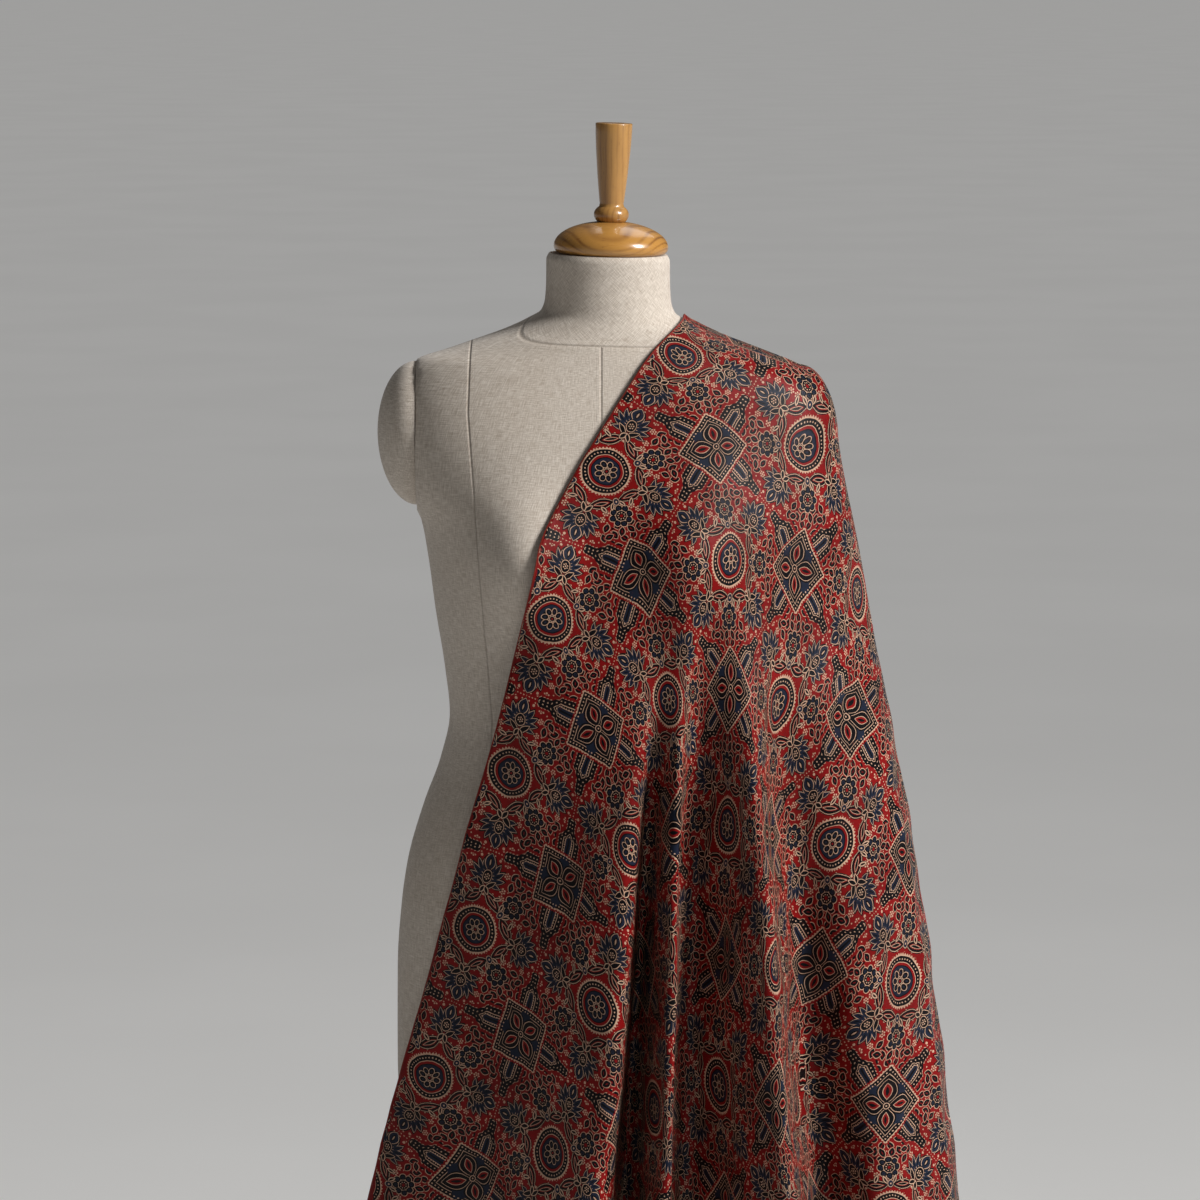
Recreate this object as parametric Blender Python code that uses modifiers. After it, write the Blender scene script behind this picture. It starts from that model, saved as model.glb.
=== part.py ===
"""A length of block-printed silk draped over one shoulder of a linen-covered dress form."""
import math

import bpy
import bmesh
import numpy as np
from mathutils import Matrix

MM = 0.001
COLLECTION = "ajrakh_silk_on_dress_form"
GAP = 0.3 * MM

# Dress form, metres. X runs across the shoulders, -Y is the front, Z is up from the floor.
FORM_BOTTOM = 0.800
NECK_TOP = 1.5825
ARMHOLE_X = 0.1668
WAIST_HEIGHT = 1.178
FORM_RING = 44
# height, half width, depth in front, depth behind, squareness, centre towards the back
FORM_SECTIONS = (
    (0.800, 0.1830, 0.110, 0.122, 2.30, 0.000),
    (0.860, 0.1880, 0.114, 0.130, 2.30, 0.000),
    (0.952, 0.1873, 0.115, 0.132, 2.30, 0.000),
    (1.007, 0.1833, 0.114, 0.127, 2.30, 0.000),
    (1.045, 0.1777, 0.112, 0.119, 2.30, 0.000),
    (1.096, 0.1631, 0.108, 0.103, 2.25, 0.000),
    (1.138, 0.1478, 0.103, 0.091, 2.20, 0.000),
    (1.178, 0.1396, 0.100, 0.085, 2.20, 0.000),
    (1.220, 0.1437, 0.103, 0.088, 2.20, 0.000),
    (1.270, 0.1514, 0.108, 0.097, 2.25, 0.000),
    (1.320, 0.1581, 0.109, 0.104, 2.30, 0.000),
    (1.350, 0.1640, 0.106, 0.107, 2.35, 0.000),
    (1.365, 0.1720, 0.104, 0.107, 2.35, 0.000),
    (1.385, 0.1800, 0.100, 0.106, 2.35, 0.000),
    (1.420, 0.1850, 0.092, 0.101, 2.35, 0.000),
    (1.450, 0.1850, 0.082, 0.091, 2.30, 0.000),
    (1.472, 0.1800, 0.074, 0.080, 2.20, 0.000),
    (1.4868, 0.1665, 0.069, 0.073, 2.10, 0.000),
    (1.4960, 0.1410, 0.066, 0.068, 2.05, 0.000),
    (1.5043, 0.1185, 0.063, 0.063, 2.00, 0.000),
    (1.5150, 0.0900, 0.058, 0.059, 2.00, 0.000),
    (1.5244, 0.0706, 0.055, 0.057, 2.00, 0.000),
    (1.5322, 0.0583, 0.053, 0.055, 2.00, -0.001),
    (1.5427, 0.0548, 0.052, 0.053, 2.00, -0.002),
    (1.5600, 0.0538, 0.051, 0.052, 2.00, -0.003),
    (1.5775, 0.0536, 0.0505, 0.0505, 2.00, -0.0045),
    (1.5825, 0.0512, 0.0482, 0.0482, 2.00, -0.005),
)
FORM_RING_HEIGHTS = (
    0.800, 0.830, 0.880, 0.930, 0.975, 1.020, 1.065, 1.105, 1.140, 1.178, 1.215, 1.250, 1.280, 1.305,
    1.325, 1.345, 1.360, 1.375, 1.395, 1.420, 1.445, 1.465, 1.480, 1.488, 1.496, 1.504, 1.512, 1.519,
    1.527,
    1.536, 1.548, 1.563, 1.5775, 1.5805, 1.5825,
)
BUST_ACROSS = 0.078
BUST_HEIGHT = 1.322
BUST_OUT = 0.031
BUST_SPREAD_X = 0.048
BUST_SPREAD_Z = 0.058

# The form stands a little out of true, its far shoulder lower.
LEAN = 0.022
LEAN_FROM = 1.25
LEAN_FULL = 1.42

# Arm stubs: padded domes sewn into the armholes.
STUB_HEIGHT = 1.4225
STUB_HALF_HEIGHT = 0.0625
STUB_HALF_DEPTH = 0.047
STUB_REACH = 0.0343
STUB_REACH_COVERED = 0.0300

# Turned wood and the stand.
CAP_RADIUS = 0.0497
CAP_RIM = 0.0060
CAP_DOME = 0.0220
CAP_FOOT_RADIUS = 0.0460
SOCKET_HEIGHT = 0.0230
SOCKET_DEPTH = 0.0043
SOCKET_RADIUS = 0.0126
BALL_RADIUS = 0.0152
BALL_HALF_HEIGHT = 0.0100
FINIAL_FOOT_RADIUS = 0.0101
FINIAL_TOP_RADIUS = 0.0160
FINIAL_LEAN_DEG = 1.7
TURNING_STEPS = 36
PLATE_RADIUS = 0.075
PLATE_THICK = 0.012
POLE_RADIUS = 0.014
COLLAR_RADIUS = 0.030
COLLAR_HEIGHT = 0.045
BASE_RADIUS = 0.175
BASE_HEIGHT = 0.024

# Cloth.
CLOTH_THICK = 2.0 * MM
CLOTH_CLEAR = 4.2 * MM
CLOTH_ROWS = 32
CLOTH_STEPS_PER_LINE = 3
ROW_EASE = 1.7
RELAX_PASSES = 6
RELAX_AMOUNT = 0.35
# How squarely the cloth wraps the chest and the arm together.
WRAP_SQUARE = 2.3
# Height and distance from the centre line of the top line of the cloth, over the shoulder and the arm.
TOP_LINE = (
    (1.5295, 0.0665),
    (1.5170, 0.0890),
    (1.5060, 0.1160),
    (1.4960, 0.1420),
    (1.4852, 0.1675),
    (1.4708, 0.1862),
    (1.4550, 0.1960),
    (1.4300, 0.2010),
    (1.3954, 0.2055),
    (1.3690, 0.2110),
    (1.3300, 0.2206),
)
ARM_TIP = 5
# How far each edge has moved from its place at bust height (0) to its place on the shoulder (1).
RISE = (0.0, 0.10, 0.25, 0.40, 0.55, 0.70, 0.86, 1.0)
RISE_SELVEDGE = (0.0, 0.034, 0.155, 0.285, 0.435, 0.590, 0.765, 1.0)
RISE_ARM = (0.0, 0.090, 0.235, 0.370, 0.480, 0.570, 0.690, 1.0)
BUST_LEVEL = 1.330
HANGS_FROM = 1.308
FOLD_HEIGHTS = (1.200, 1.080, 0.950, 0.800, 0.600)
# Lines down the cloth, from the near selvedge round to the arm side. Share of the way along the shoulder,
# height of the hem (metres), place across at bust level, then place across and place behind the shoulder
# line (millimetres) at each of the fold heights.
FRONT_LINES = (
    ("selvedge", 0.00, 0.690, -61, (-92, -112), (-125, -92), (-160, -76), (-201, -60), (-250, -48)),
    ("near panel", 0.14, 0.566, -20, (-35, -130), (-55, -126), (-77, -126), (-105, -122), (-140, -118)),
    ("first ridge", 0.27, 0.446, 33, (24, -140), (14, -160), (6, -174), (-8, -184), (-35, -192)),
    ("first hollow", 0.34, 0.375, 53, (42, -135), (33, -128), (25, -121), (15, -117), (-4, -112)),
    ("second ridge", 0.42, 0.290, 75, (62, -143), (57, -164), (54, -180), (49, -192), (40, -200)),
    ("second hollow", 0.51, 0.200, 95, (86, -127), (84, -118), (83, -114), (80, -108), (76, -100)),
    ("third ridge", 0.61, 0.100, 116, (119, -141), (130, -158), (140, -170), (152, -180), (168, -188)),
    ("third hollow", 0.71, 0.274, 140, (144, -114), (156, -98), (167, -86), (182, -78), (200, -70)),
    ("arm panel", 0.80, 0.372, 172, (182, -98), (200, -98), (215, -101), (232, -104), (252, -108)),
    ("arm hollow", 0.87, 0.467, 195, (213, -74), (236, -74), (254, -74), (272, -76), (295, -78)),
    ("side panel", 0.94, 0.547, 213, (235, -42), (259, -43), (280, -42), (299, -42), (323, -42)),
    ("side", 1.00, 0.620, 220.6, (244.6, -4), (268, -4), (288.6, -4), (308.5, -4), (333, -4)),
)
BACK_LINES = (
    ("back selvedge", 0.00, 0.600, 50, (42, 118), (34, 128), (26, 148), (18, 154), (8, 152)),
    ("back panel", 0.14, 0.520, 72, (66, 124), (60, 136), (54, 152), (48, 157), (40, 158)),
    ("first back ridge", 0.27, 0.430, 90, (88, 132), (84, 152), (80, 176), (76, 188), (70, 196)),
    ("first back hollow", 0.34, 0.380, 104, (104, 122), (101, 128), (98, 141), (95, 142), (92, 138)),
    ("second back ridge", 0.42, 0.300, 118, (122, 134), (120, 154), (120, 178), (118, 192), (116, 202)),
    ("second back hollow", 0.51, 0.220, 132, (140, 114), (142, 112), (146, 120), (148, 116), (150, 110)),
    ("third back ridge", 0.61, 0.120, 148, (160, 122), (166, 136), (174, 152), (182, 164), (190, 174)),
    ("third back hollow", 0.71, 0.250, 164, (178, 98), (186, 94), (196, 92), (206, 90), (216, 86)),
    ("back arm panel", 0.80, 0.340, 182, (200, 92), (210, 101), (222, 112), (234, 118), (246, 124)),
    ("back arm hollow", 0.87, 0.450, 199, (220, 68), (236, 76), (252, 80), (268, 84), (284, 88)),
    ("back side panel", 0.94, 0.540, 214, (237, 38), (258, 42), (277, 44), (296, 46), (318, 46)),
    ("side", 1.00, 0.620, 220.6, (244.6, -4), (268, -4), (288.6, -4), (308.5, -4), (333, -4)),
)

MATERIALS = {
    "ajrakh_red_silk": ((0.36, 0.030, 0.028, 1.0), 0.42),
    "greige_linen": ((0.50, 0.45, 0.39, 1.0), 0.90),
    "honey_wood": ((0.46, 0.22, 0.07, 1.0), 0.22),
    "dark_steel": ((0.05, 0.05, 0.055, 1.0), 0.40),
}


def smooth_curve(xs, ys, x):
    """Cubic through the points (xs rising) with slopes that never overshoot; straight beyond its ends."""
    xs = np.asarray(xs, float)
    ys = np.asarray(ys, float)
    x = np.asarray(x, float)
    step = np.diff(xs)
    slope = np.diff(ys) / step
    tangent = np.zeros(len(xs))
    tangent[0] = slope[0]
    tangent[-1] = slope[-1]
    for k in range(1, len(xs) - 1):
        if slope[k - 1] * slope[k] > 0:
            w1 = 2 * step[k] + step[k - 1]
            w2 = step[k] + 2 * step[k - 1]
            tangent[k] = (w1 + w2) / (w1 / slope[k - 1] + w2 / slope[k])
    k = np.clip(np.searchsorted(xs, x) - 1, 0, len(xs) - 2)
    h = step[k]
    f = (x - xs[k]) / h
    g = np.clip(f, 0.0, 1.0)
    inside = (
        (2 * g ** 3 - 3 * g ** 2 + 1) * ys[k]
        + (g ** 3 - 2 * g ** 2 + g) * h * tangent[k]
        + (3 * g ** 2 - 2 * g ** 3) * ys[k + 1]
        + (g ** 3 - g ** 2) * h * tangent[k + 1]
    )
    return inside + np.where(f < 0, f * h * tangent[0], 0.0) + np.where(f > 1, (f - 1) * h * tangent[-1], 0.0)


def ease(f):
    f = np.clip(f, 0.0, 1.0)
    return f * f * (3 - 2 * f)


def lean_drop(x, z):
    """How far the form's lean lowers a point."""
    return LEAN * x * ease((z - LEAN_FROM) / (LEAN_FULL - LEAN_FROM))


def lean_mesh(mesh):
    for vert in mesh.vertices:
        vert.co.z -= float(lean_drop(vert.co.x, vert.co.z))
    mesh.update()


def form_section(z):
    rows = np.array(FORM_SECTIONS)
    z = np.clip(z, rows[0, 0], rows[-1, 0])
    return [smooth_curve(rows[:, 0], rows[:, c], z) for c in range(1, 6)]


def bust(x, z):
    """Extra depth of the bust at a place on the front."""
    across = (np.abs(x) - BUST_ACROSS) / BUST_SPREAD_X
    up = (z - BUST_HEIGHT) / BUST_SPREAD_Z
    return BUST_OUT * np.exp(-(across ** 2 + up ** 2))


def form_depths(x, z, clear):
    """Half width and the depths in front and behind at a place, with a clearance added all round."""
    width, front, back, square, centre = form_section(z)
    return width + clear, front + bust(x, z) + clear, back + clear, square, centre


def push_off_form(x, y, z, clear):
    """Moves points that are inside the form, or nearer than the clearance, straight out of it."""
    level = z + lean_drop(x, z)
    for _ in range(3):
        width, front, back, square, centre = form_depths(x, level, clear)
        width = np.where(level > WAIST_HEIGHT, np.minimum(width, ARMHOLE_X + clear), width)
        depth = np.where(y < centre, front, back)
        rel = (np.abs(x / width) ** square + np.abs((y - centre) / depth) ** square) ** (1 / square)
        inside = (rel < 1.0) & (level > FORM_BOTTOM - 0.02) & (level < NECK_TOP)
        scale = np.where(inside, 1.0 / np.maximum(rel, 0.05), 1.0)
        x = x * scale
        y = centre + (y - centre) * scale
    out = np.maximum(np.abs(x) - ARMHOLE_X, 0.0) / (STUB_REACH_COVERED + clear)
    side = y / (STUB_HALF_DEPTH + clear)
    up = (level - STUB_HEIGHT) / (STUB_HALF_HEIGHT + clear)
    rel = np.sqrt(out ** 2 + side ** 2 + up ** 2)
    push = np.where((rel < 1.0) & (x > ARMHOLE_X), 1.0 / np.maximum(rel, 0.3), 1.0)
    x = np.where(push > 1.0, ARMHOLE_X + (x - ARMHOLE_X) * push, x)
    y = y * push
    z = z + (level - STUB_HEIGHT) * (push - 1.0)
    return x, y, z


def shoulder_line(share):
    """Place across and height of the cloth's top line, a share of the way from the neck to the arm."""
    top = np.array(TOP_LINE)[:ARM_TIP + 1]
    across = top[0, 1] + (top[-1, 1] - top[0, 1]) * share
    return across, smooth_curve(top[:, 1], top[:, 0], across)


def line_plan(row, z, facing):
    """Place across and towards the back of one line of the cloth at the heights z."""
    share = row[1]
    bust_x = row[3] * MM
    heights = np.array(FOLD_HEIGHTS)[::-1]
    across = np.array([place[0] for place in row[4:]])[::-1] * MM
    behind = np.array([place[1] for place in row[4:]])[::-1] * MM
    top_x, top_z = shoulder_line(share)
    rise = np.clip((z - BUST_LEVEL) / (top_z - BUST_LEVEL), 0.0, 1.0)
    moved = (1 - share) * smooth_curve(RISE, RISE_SELVEDGE, rise) + share * smooth_curve(RISE, RISE_ARM, rise)
    upper = bust_x + (top_x - bust_x) * moved
    lower = smooth_curve(np.append(heights, BUST_LEVEL), np.append(across, bust_x), z)
    x = np.where(z > BUST_LEVEL, upper, lower)
    top = np.array(TOP_LINE)[::-1]
    reach = smooth_curve(top[:, 0], top[:, 1], np.clip(z, BUST_LEVEL, top[-1, 0]))
    width, front, back, square, centre = form_section(z + lean_drop(x, z))
    depth = (front + bust(x, z) if facing < 0 else back) + CLOTH_CLEAR
    fill = np.clip(1 - np.abs(x / reach) ** WRAP_SQUARE, 0.0, 1.0) ** (1 / WRAP_SQUARE)
    lying = facing * depth * fill
    hanging = smooth_curve(heights, behind, np.minimum(z, FOLD_HEIGHTS[0]))
    return x, lying + (hanging - lying) * ease((HANGS_FROM - z) / (HANGS_FROM - FOLD_HEIGHTS[0]))


def spline_weights(f):
    """Weights of four neighbouring lines for a column a part f of the way from the second to the third."""
    return (
        -0.5 * f + f ** 2 - 0.5 * f ** 3,
        1 - 2.5 * f ** 2 + 1.5 * f ** 3,
        0.5 * f + 2 * f ** 2 - 1.5 * f ** 3,
        -0.5 * f ** 2 + 0.5 * f ** 3,
    )


def cloth_half(lines, facing, rows, per_line):
    """One half of the cloth, from the shoulder down: arrays of columns by rows."""
    last = len(lines) - 1
    place = np.linspace(0, last, last * per_line + 1)
    share = np.interp(place, range(last + 1), [row[1] for row in lines])
    hem = np.interp(place, range(last + 1), [row[2] for row in lines])
    top_z = shoulder_line(share)[1]
    fall = np.linspace(0, 1, rows + 1) ** ROW_EASE
    z = top_z[:, None] - (top_z - hem)[:, None] * fall[None, :]
    x = np.zeros_like(z)
    y = np.zeros_like(z)
    for c, at in enumerate(place):
        before = int(math.floor(at + 1e-9))
        for offset, weight in zip(range(-1, 3), spline_weights(at - before)):
            row = lines[min(max(before + offset, 0), last)]
            # Above the bust each line is read as far up its own length as the column is up its own.
            stretch = (shoulder_line(row[1])[1] - BUST_LEVEL) / (top_z[c] - BUST_LEVEL)
            level = np.where(z[c] > BUST_LEVEL, BUST_LEVEL + (z[c] - BUST_LEVEL) * stretch, z[c])
            line_x, line_y = line_plan(row, level, facing)
            x[c] += weight * line_x
            y[c] += weight * line_y
    return x, y, z


def relax(points, edges, free):
    """Evens out the cloth where it lies on the form, and keeps it off the form."""
    degree = np.bincount(edges.ravel(), minlength=len(points))
    for _ in range(RELAX_PASSES):
        total = np.zeros_like(points)
        np.add.at(total, edges[:, 0], points[edges[:, 1]])
        np.add.at(total, edges[:, 1], points[edges[:, 0]])
        amount = RELAX_AMOUNT * free * ease((points[:, 2] - 1.15) / 0.10) * ease((1.465 - points[:, 2]) / 0.03)
        points = points + amount[:, None] * (total / degree[:, None] - points)
        points = np.stack(push_off_form(points[:, 0], points[:, 1], points[:, 2], CLOTH_CLEAR), axis=1)
    return points


def cloth_points(rows, per_line):
    """The whole sheet's middle surface: points and quads. The halves share the shoulder line and the side."""
    halves = (cloth_half(FRONT_LINES, -1, rows, per_line), cloth_half(BACK_LINES, 1, rows, per_line))
    columns = halves[0][0].shape[0]
    number = {}
    points = []
    for side, (x, y, z) in enumerate(halves):
        for c in range(columns):
            for r in range(rows + 1):
                if side == 1 and (r == 0 or c == columns - 1):
                    number[side, c, r] = number[0, c, r]
                    continue
                number[side, c, r] = len(points)
                points.append((x[c, r], y[c, r], z[c, r]))
    quads = []
    uses = {}
    for side in (0, 1):
        for c in range(columns - 1):
            for r in range(rows):
                ring = [number[side, c + i, r + j] for i, j in ((0, 0), (0, 1), (1, 1), (1, 0))]
                quads.append(ring if side == 0 else ring[::-1])
                for a, b in zip(ring, ring[1:] + ring[:1]):
                    key = (min(a, b), max(a, b))
                    uses[key] = uses.get(key, 0) + 1
    rim = {v for key, count in uses.items() if count == 1 for v in key}
    free = np.array([0.0 if i in rim else 1.0 for i in range(len(points))])
    return relax(np.array(points), np.array(sorted(uses)), free), quads


def material(name):
    colour, rough = MATERIALS[name]
    mat = bpy.data.materials.new(name)
    mat.use_nodes = True
    shader = mat.node_tree.nodes["Principled BSDF"]
    shader.inputs["Base Color"].default_value = colour
    shader.inputs["Roughness"].default_value = rough
    mat.diffuse_color = colour
    return mat


def add_object(name, mesh, collection, mat):
    obj = bpy.data.objects.new(name, mesh)
    collection.objects.link(obj)
    mesh.materials.append(mat)
    for poly in mesh.polygons:
        poly.use_smooth = True
    mesh.set_sharp_from_angle(angle=math.radians(40))
    return obj


def mesh_from(name, points, faces):
    mesh = bpy.data.meshes.new(name)
    mesh.from_pydata([tuple(p) for p in points], [], faces)
    bm = bmesh.new()
    bm.from_mesh(mesh)
    bmesh.ops.recalc_face_normals(bm, faces=bm.faces)
    bm.to_mesh(mesh)
    bm.free()
    return mesh


def apply_modifiers(obj):
    depsgraph = bpy.context.evaluated_depsgraph_get()
    mesh = bpy.data.meshes.new_from_object(obj.evaluated_get(depsgraph))
    obj.modifiers.clear()
    obj.data = mesh
    for poly in mesh.polygons:
        poly.use_smooth = True
    mesh.set_sharp_from_angle(angle=math.radians(40))


def build_form(collection, mat):
    """Torso and neck: a loft through the level sections, cut flat at the armholes."""
    points = []
    for height in FORM_RING_HEIGHTS:
        width, front, back, square, centre = [float(v) for v in form_section(height)]
        for k in range(FORM_RING):
            turn = 2 * math.pi * (k + 0.5) / FORM_RING
            cosine = math.cos(turn)
            sine = math.sin(turn)
            x = width * math.copysign(abs(cosine) ** (2 / square), cosine)
            if height > WAIST_HEIGHT:
                x = max(-ARMHOLE_X, min(ARMHOLE_X, x))
            depth = front + float(bust(x, height)) if sine < 0 else back
            y = centre + depth * math.copysign(abs(sine) ** (2 / square), sine)
            points.append((x, y, height - float(lean_drop(x, height))))
    faces = []
    levels = len(FORM_RING_HEIGHTS)
    for i in range(levels - 1):
        for k in range(FORM_RING):
            nxt = (k + 1) % FORM_RING
            faces.append((i * FORM_RING + k, i * FORM_RING + nxt, (i + 1) * FORM_RING + nxt, (i + 1) * FORM_RING + k))
    faces.append(tuple(reversed(range(FORM_RING))))
    faces.append(tuple(range((levels - 1) * FORM_RING, levels * FORM_RING)))
    return add_object("form_torso", mesh_from("form_torso", points, faces), collection, mat)


def turned(name, profile, collection, mat, steps=TURNING_STEPS):
    """A turned piece: the profile (radius, height), from its top to its bottom, swept round the Z axis."""
    mesh = bpy.data.meshes.new(name)
    mesh.from_pydata([(r, 0.0, z) for r, z in profile], [(i, i + 1) for i in range(len(profile) - 1)], [])
    obj = bpy.data.objects.new(name, mesh)
    collection.objects.link(obj)
    mesh.materials.append(mat)
    screw = obj.modifiers.new("turning", "SCREW")
    screw.steps = steps
    screw.render_steps = steps
    screw.use_merge_vertices = True
    screw.merge_threshold = 0.00001
    screw.use_normal_calculate = True
    apply_modifiers(obj)
    bm = bmesh.new()
    bm.from_mesh(obj.data)
    bmesh.ops.remove_doubles(bm, verts=bm.verts, dist=0.00001)
    bmesh.ops.recalc_face_normals(bm, faces=bm.faces)
    bm.to_mesh(obj.data)
    bm.free()
    return obj


def build_stub(name, side, reach, collection, mat):
    """One padded arm stub, its flat face at the armhole."""
    profile = []
    for k in range(8):
        turn = math.radians(90 * k / 8)
        profile.append((STUB_HALF_HEIGHT * math.sin(turn), reach * math.cos(turn)))
    profile.append((STUB_HALF_HEIGHT, 0.0))
    profile.append((0.0, 0.0))
    obj = turned(name, profile, collection, mat, 28)
    squeeze = Matrix.Diagonal((1.0, STUB_HALF_DEPTH / STUB_HALF_HEIGHT, 1.0, 1.0))
    tip_over = Matrix.Rotation(math.radians(90 * side), 4, "Y")
    obj.data.transform(Matrix.Translation((side * (ARMHOLE_X + GAP), 0, STUB_HEIGHT)) @ tip_over @ squeeze)
    lean_mesh(obj.data)
    return obj


def build_cap(collection, mat):
    """Turned neck cap, hollowed for the ball of the tapered finial."""
    seat = NECK_TOP + GAP
    floor = seat + SOCKET_HEIGHT
    profile = [(0.0, floor), (0.0050, floor), (0.0096, floor + 0.0020), (SOCKET_RADIUS, floor + SOCKET_DEPTH)]
    for k in range(2, 9):
        turn = math.radians(10 * k + 2)
        profile.append((CAP_RADIUS * math.sin(turn), seat + CAP_RIM + CAP_DOME * math.cos(turn)))
    profile.append((CAP_RADIUS, seat + CAP_RIM))
    profile.append((CAP_RADIUS - 0.0007, seat + 0.0028))
    profile.append((CAP_FOOT_RADIUS, seat))
    profile.append((0.0, seat))
    cap = turned("neck_cap", profile, collection, mat)
    cap.data.transform(Matrix.Translation((0.0025, -0.005, 0)))
    lean_mesh(cap.data)
    foot = floor + GAP
    profile = [(0.0, 0.0888), (0.0120, 0.0888), (FINIAL_TOP_RADIUS - 0.0012, 0.0880), (FINIAL_TOP_RADIUS, 0.0862)]
    profile += [(0.0152, 0.0680), (0.0134, 0.0480), (0.0116, 0.0310), (FINIAL_FOOT_RADIUS, 0.0200)]
    profile += [(0.0106, 0.0186)]
    for k in range(1, 6):
        turn = math.radians(45 + 120 * k / 6)
        profile.append((BALL_RADIUS * math.sin(turn), BALL_HALF_HEIGHT * (1 + math.cos(turn))))
    profile.append((0.0040, 0.0))
    profile.append((0.0, 0.0))
    finial = turned("neck_finial", profile, collection, mat)
    tip_over = Matrix.Rotation(math.radians(FINIAL_LEAN_DEG), 4, "Y")
    finial.data.transform(Matrix.Translation((0.0025, -0.005, foot + 0.0002)) @ tip_over)
    return cap, finial


def build_stand(collection, wood, steel):
    """Plate under the form, pole, collar and the round foot."""
    top = FORM_BOTTOM - GAP
    plate = [(0.0, top), (PLATE_RADIUS, top), (PLATE_RADIUS, top - PLATE_THICK), (0.0, top - PLATE_THICK)]
    turned("form_plate", plate, collection, wood)
    pole_top = top - PLATE_THICK - GAP
    pole_foot = BASE_HEIGHT + COLLAR_HEIGHT + GAP
    pole = [(0.0, pole_top), (POLE_RADIUS, pole_top), (POLE_RADIUS, pole_foot), (0.0, pole_foot)]
    turned("pole", pole, collection, steel, 24)
    foot = [
        (0.0, BASE_HEIGHT + COLLAR_HEIGHT), (COLLAR_RADIUS - 0.004, BASE_HEIGHT + COLLAR_HEIGHT),
        (COLLAR_RADIUS, BASE_HEIGHT + COLLAR_HEIGHT - 0.006), (COLLAR_RADIUS, BASE_HEIGHT + 0.006),
        (COLLAR_RADIUS + 0.010, BASE_HEIGHT), (BASE_RADIUS - 0.008, BASE_HEIGHT),
        (BASE_RADIUS - 0.002, BASE_HEIGHT - 0.003), (BASE_RADIUS, BASE_HEIGHT - 0.010),
        (BASE_RADIUS, 0.002), (BASE_RADIUS - 0.002, 0.0), (0.0, 0.0),
    ]
    turned("base", foot, collection, wood, 48)


def build_cloth(collection, mat):
    points, quads = cloth_points(CLOTH_ROWS, CLOTH_STEPS_PER_LINE)
    mesh = mesh_from("ajrakh_cloth", points, quads)
    middle = mesh.polygons[len(mesh.polygons) // 8]
    if middle.normal.y > 0:
        mesh.flip_normals()
    cloth = add_object("ajrakh_cloth", mesh, collection, mat)
    solidify = cloth.modifiers.new("thickness", "SOLIDIFY")
    solidify.thickness = CLOTH_THICK
    solidify.offset = 0.0
    solidify.use_rim = True
    apply_modifiers(cloth)
    return cloth


def main():
    for obj in list(bpy.data.objects):
        bpy.data.objects.remove(obj, do_unlink=True)
    scene = bpy.context.scene
    scene.unit_settings.system = "METRIC"
    scene.unit_settings.scale_length = 1.0
    collection = bpy.data.collections.new(COLLECTION)
    scene.collection.children.link(collection)
    mats = {name: material(name) for name in MATERIALS}
    build_form(collection, mats["greige_linen"])
    build_stub("arm_stub_bare", -1, STUB_REACH, collection, mats["greige_linen"])
    build_stub("arm_stub_covered", 1, STUB_REACH_COVERED, collection, mats["greige_linen"])
    build_cap(collection, mats["honey_wood"])
    build_stand(collection, mats["honey_wood"], mats["dark_steel"])
    build_cloth(collection, mats["ajrakh_red_silk"])


main()
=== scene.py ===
"""Looks for the block-printed silk draped over one shoulder of a linen-covered dress form."""
import math
from functools import partialmethod

import bpy
import bmesh
import numpy as np
from mathutils import Matrix, Vector


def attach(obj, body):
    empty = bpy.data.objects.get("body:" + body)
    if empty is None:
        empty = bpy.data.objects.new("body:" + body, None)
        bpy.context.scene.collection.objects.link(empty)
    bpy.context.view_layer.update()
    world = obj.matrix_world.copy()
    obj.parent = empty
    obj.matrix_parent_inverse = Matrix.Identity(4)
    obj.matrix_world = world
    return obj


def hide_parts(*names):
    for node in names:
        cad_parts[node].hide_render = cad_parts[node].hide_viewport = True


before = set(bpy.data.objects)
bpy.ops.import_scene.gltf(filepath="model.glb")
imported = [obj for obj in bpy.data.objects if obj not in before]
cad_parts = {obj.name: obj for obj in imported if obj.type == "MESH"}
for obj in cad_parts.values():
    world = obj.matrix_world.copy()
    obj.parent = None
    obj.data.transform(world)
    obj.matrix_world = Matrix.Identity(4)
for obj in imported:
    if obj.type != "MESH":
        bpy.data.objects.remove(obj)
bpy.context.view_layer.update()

MM = 0.001

# Camera: the point that it looks at, how far off it stands and how far it sees (metres), its height angle, the
# width that it takes in (metres) and its sensor (millimetres).
CAMERA_TARGET = (-0.007, 0.0, 1.2776)
CAMERA_DISTANCE = 3.6
CAMERA_SIGHT = 1500.0
CAMERA_ELEVATION_DEG = 9.0
CAMERA_SPAN = 1.056
SENSOR = 36.0

# Dress form, as the solids have it.
FORM_BOTTOM = 0.800
NECK_TOP = 1.5825
ARMHOLE_X = 0.1668
WAIST_HEIGHT = 1.178
# Room between two pieces that sit against each other.
PIECE_GAP = 0.0003
# Edges sharper than this angle aren't smoothed.
SHARP = math.radians(50)
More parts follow.
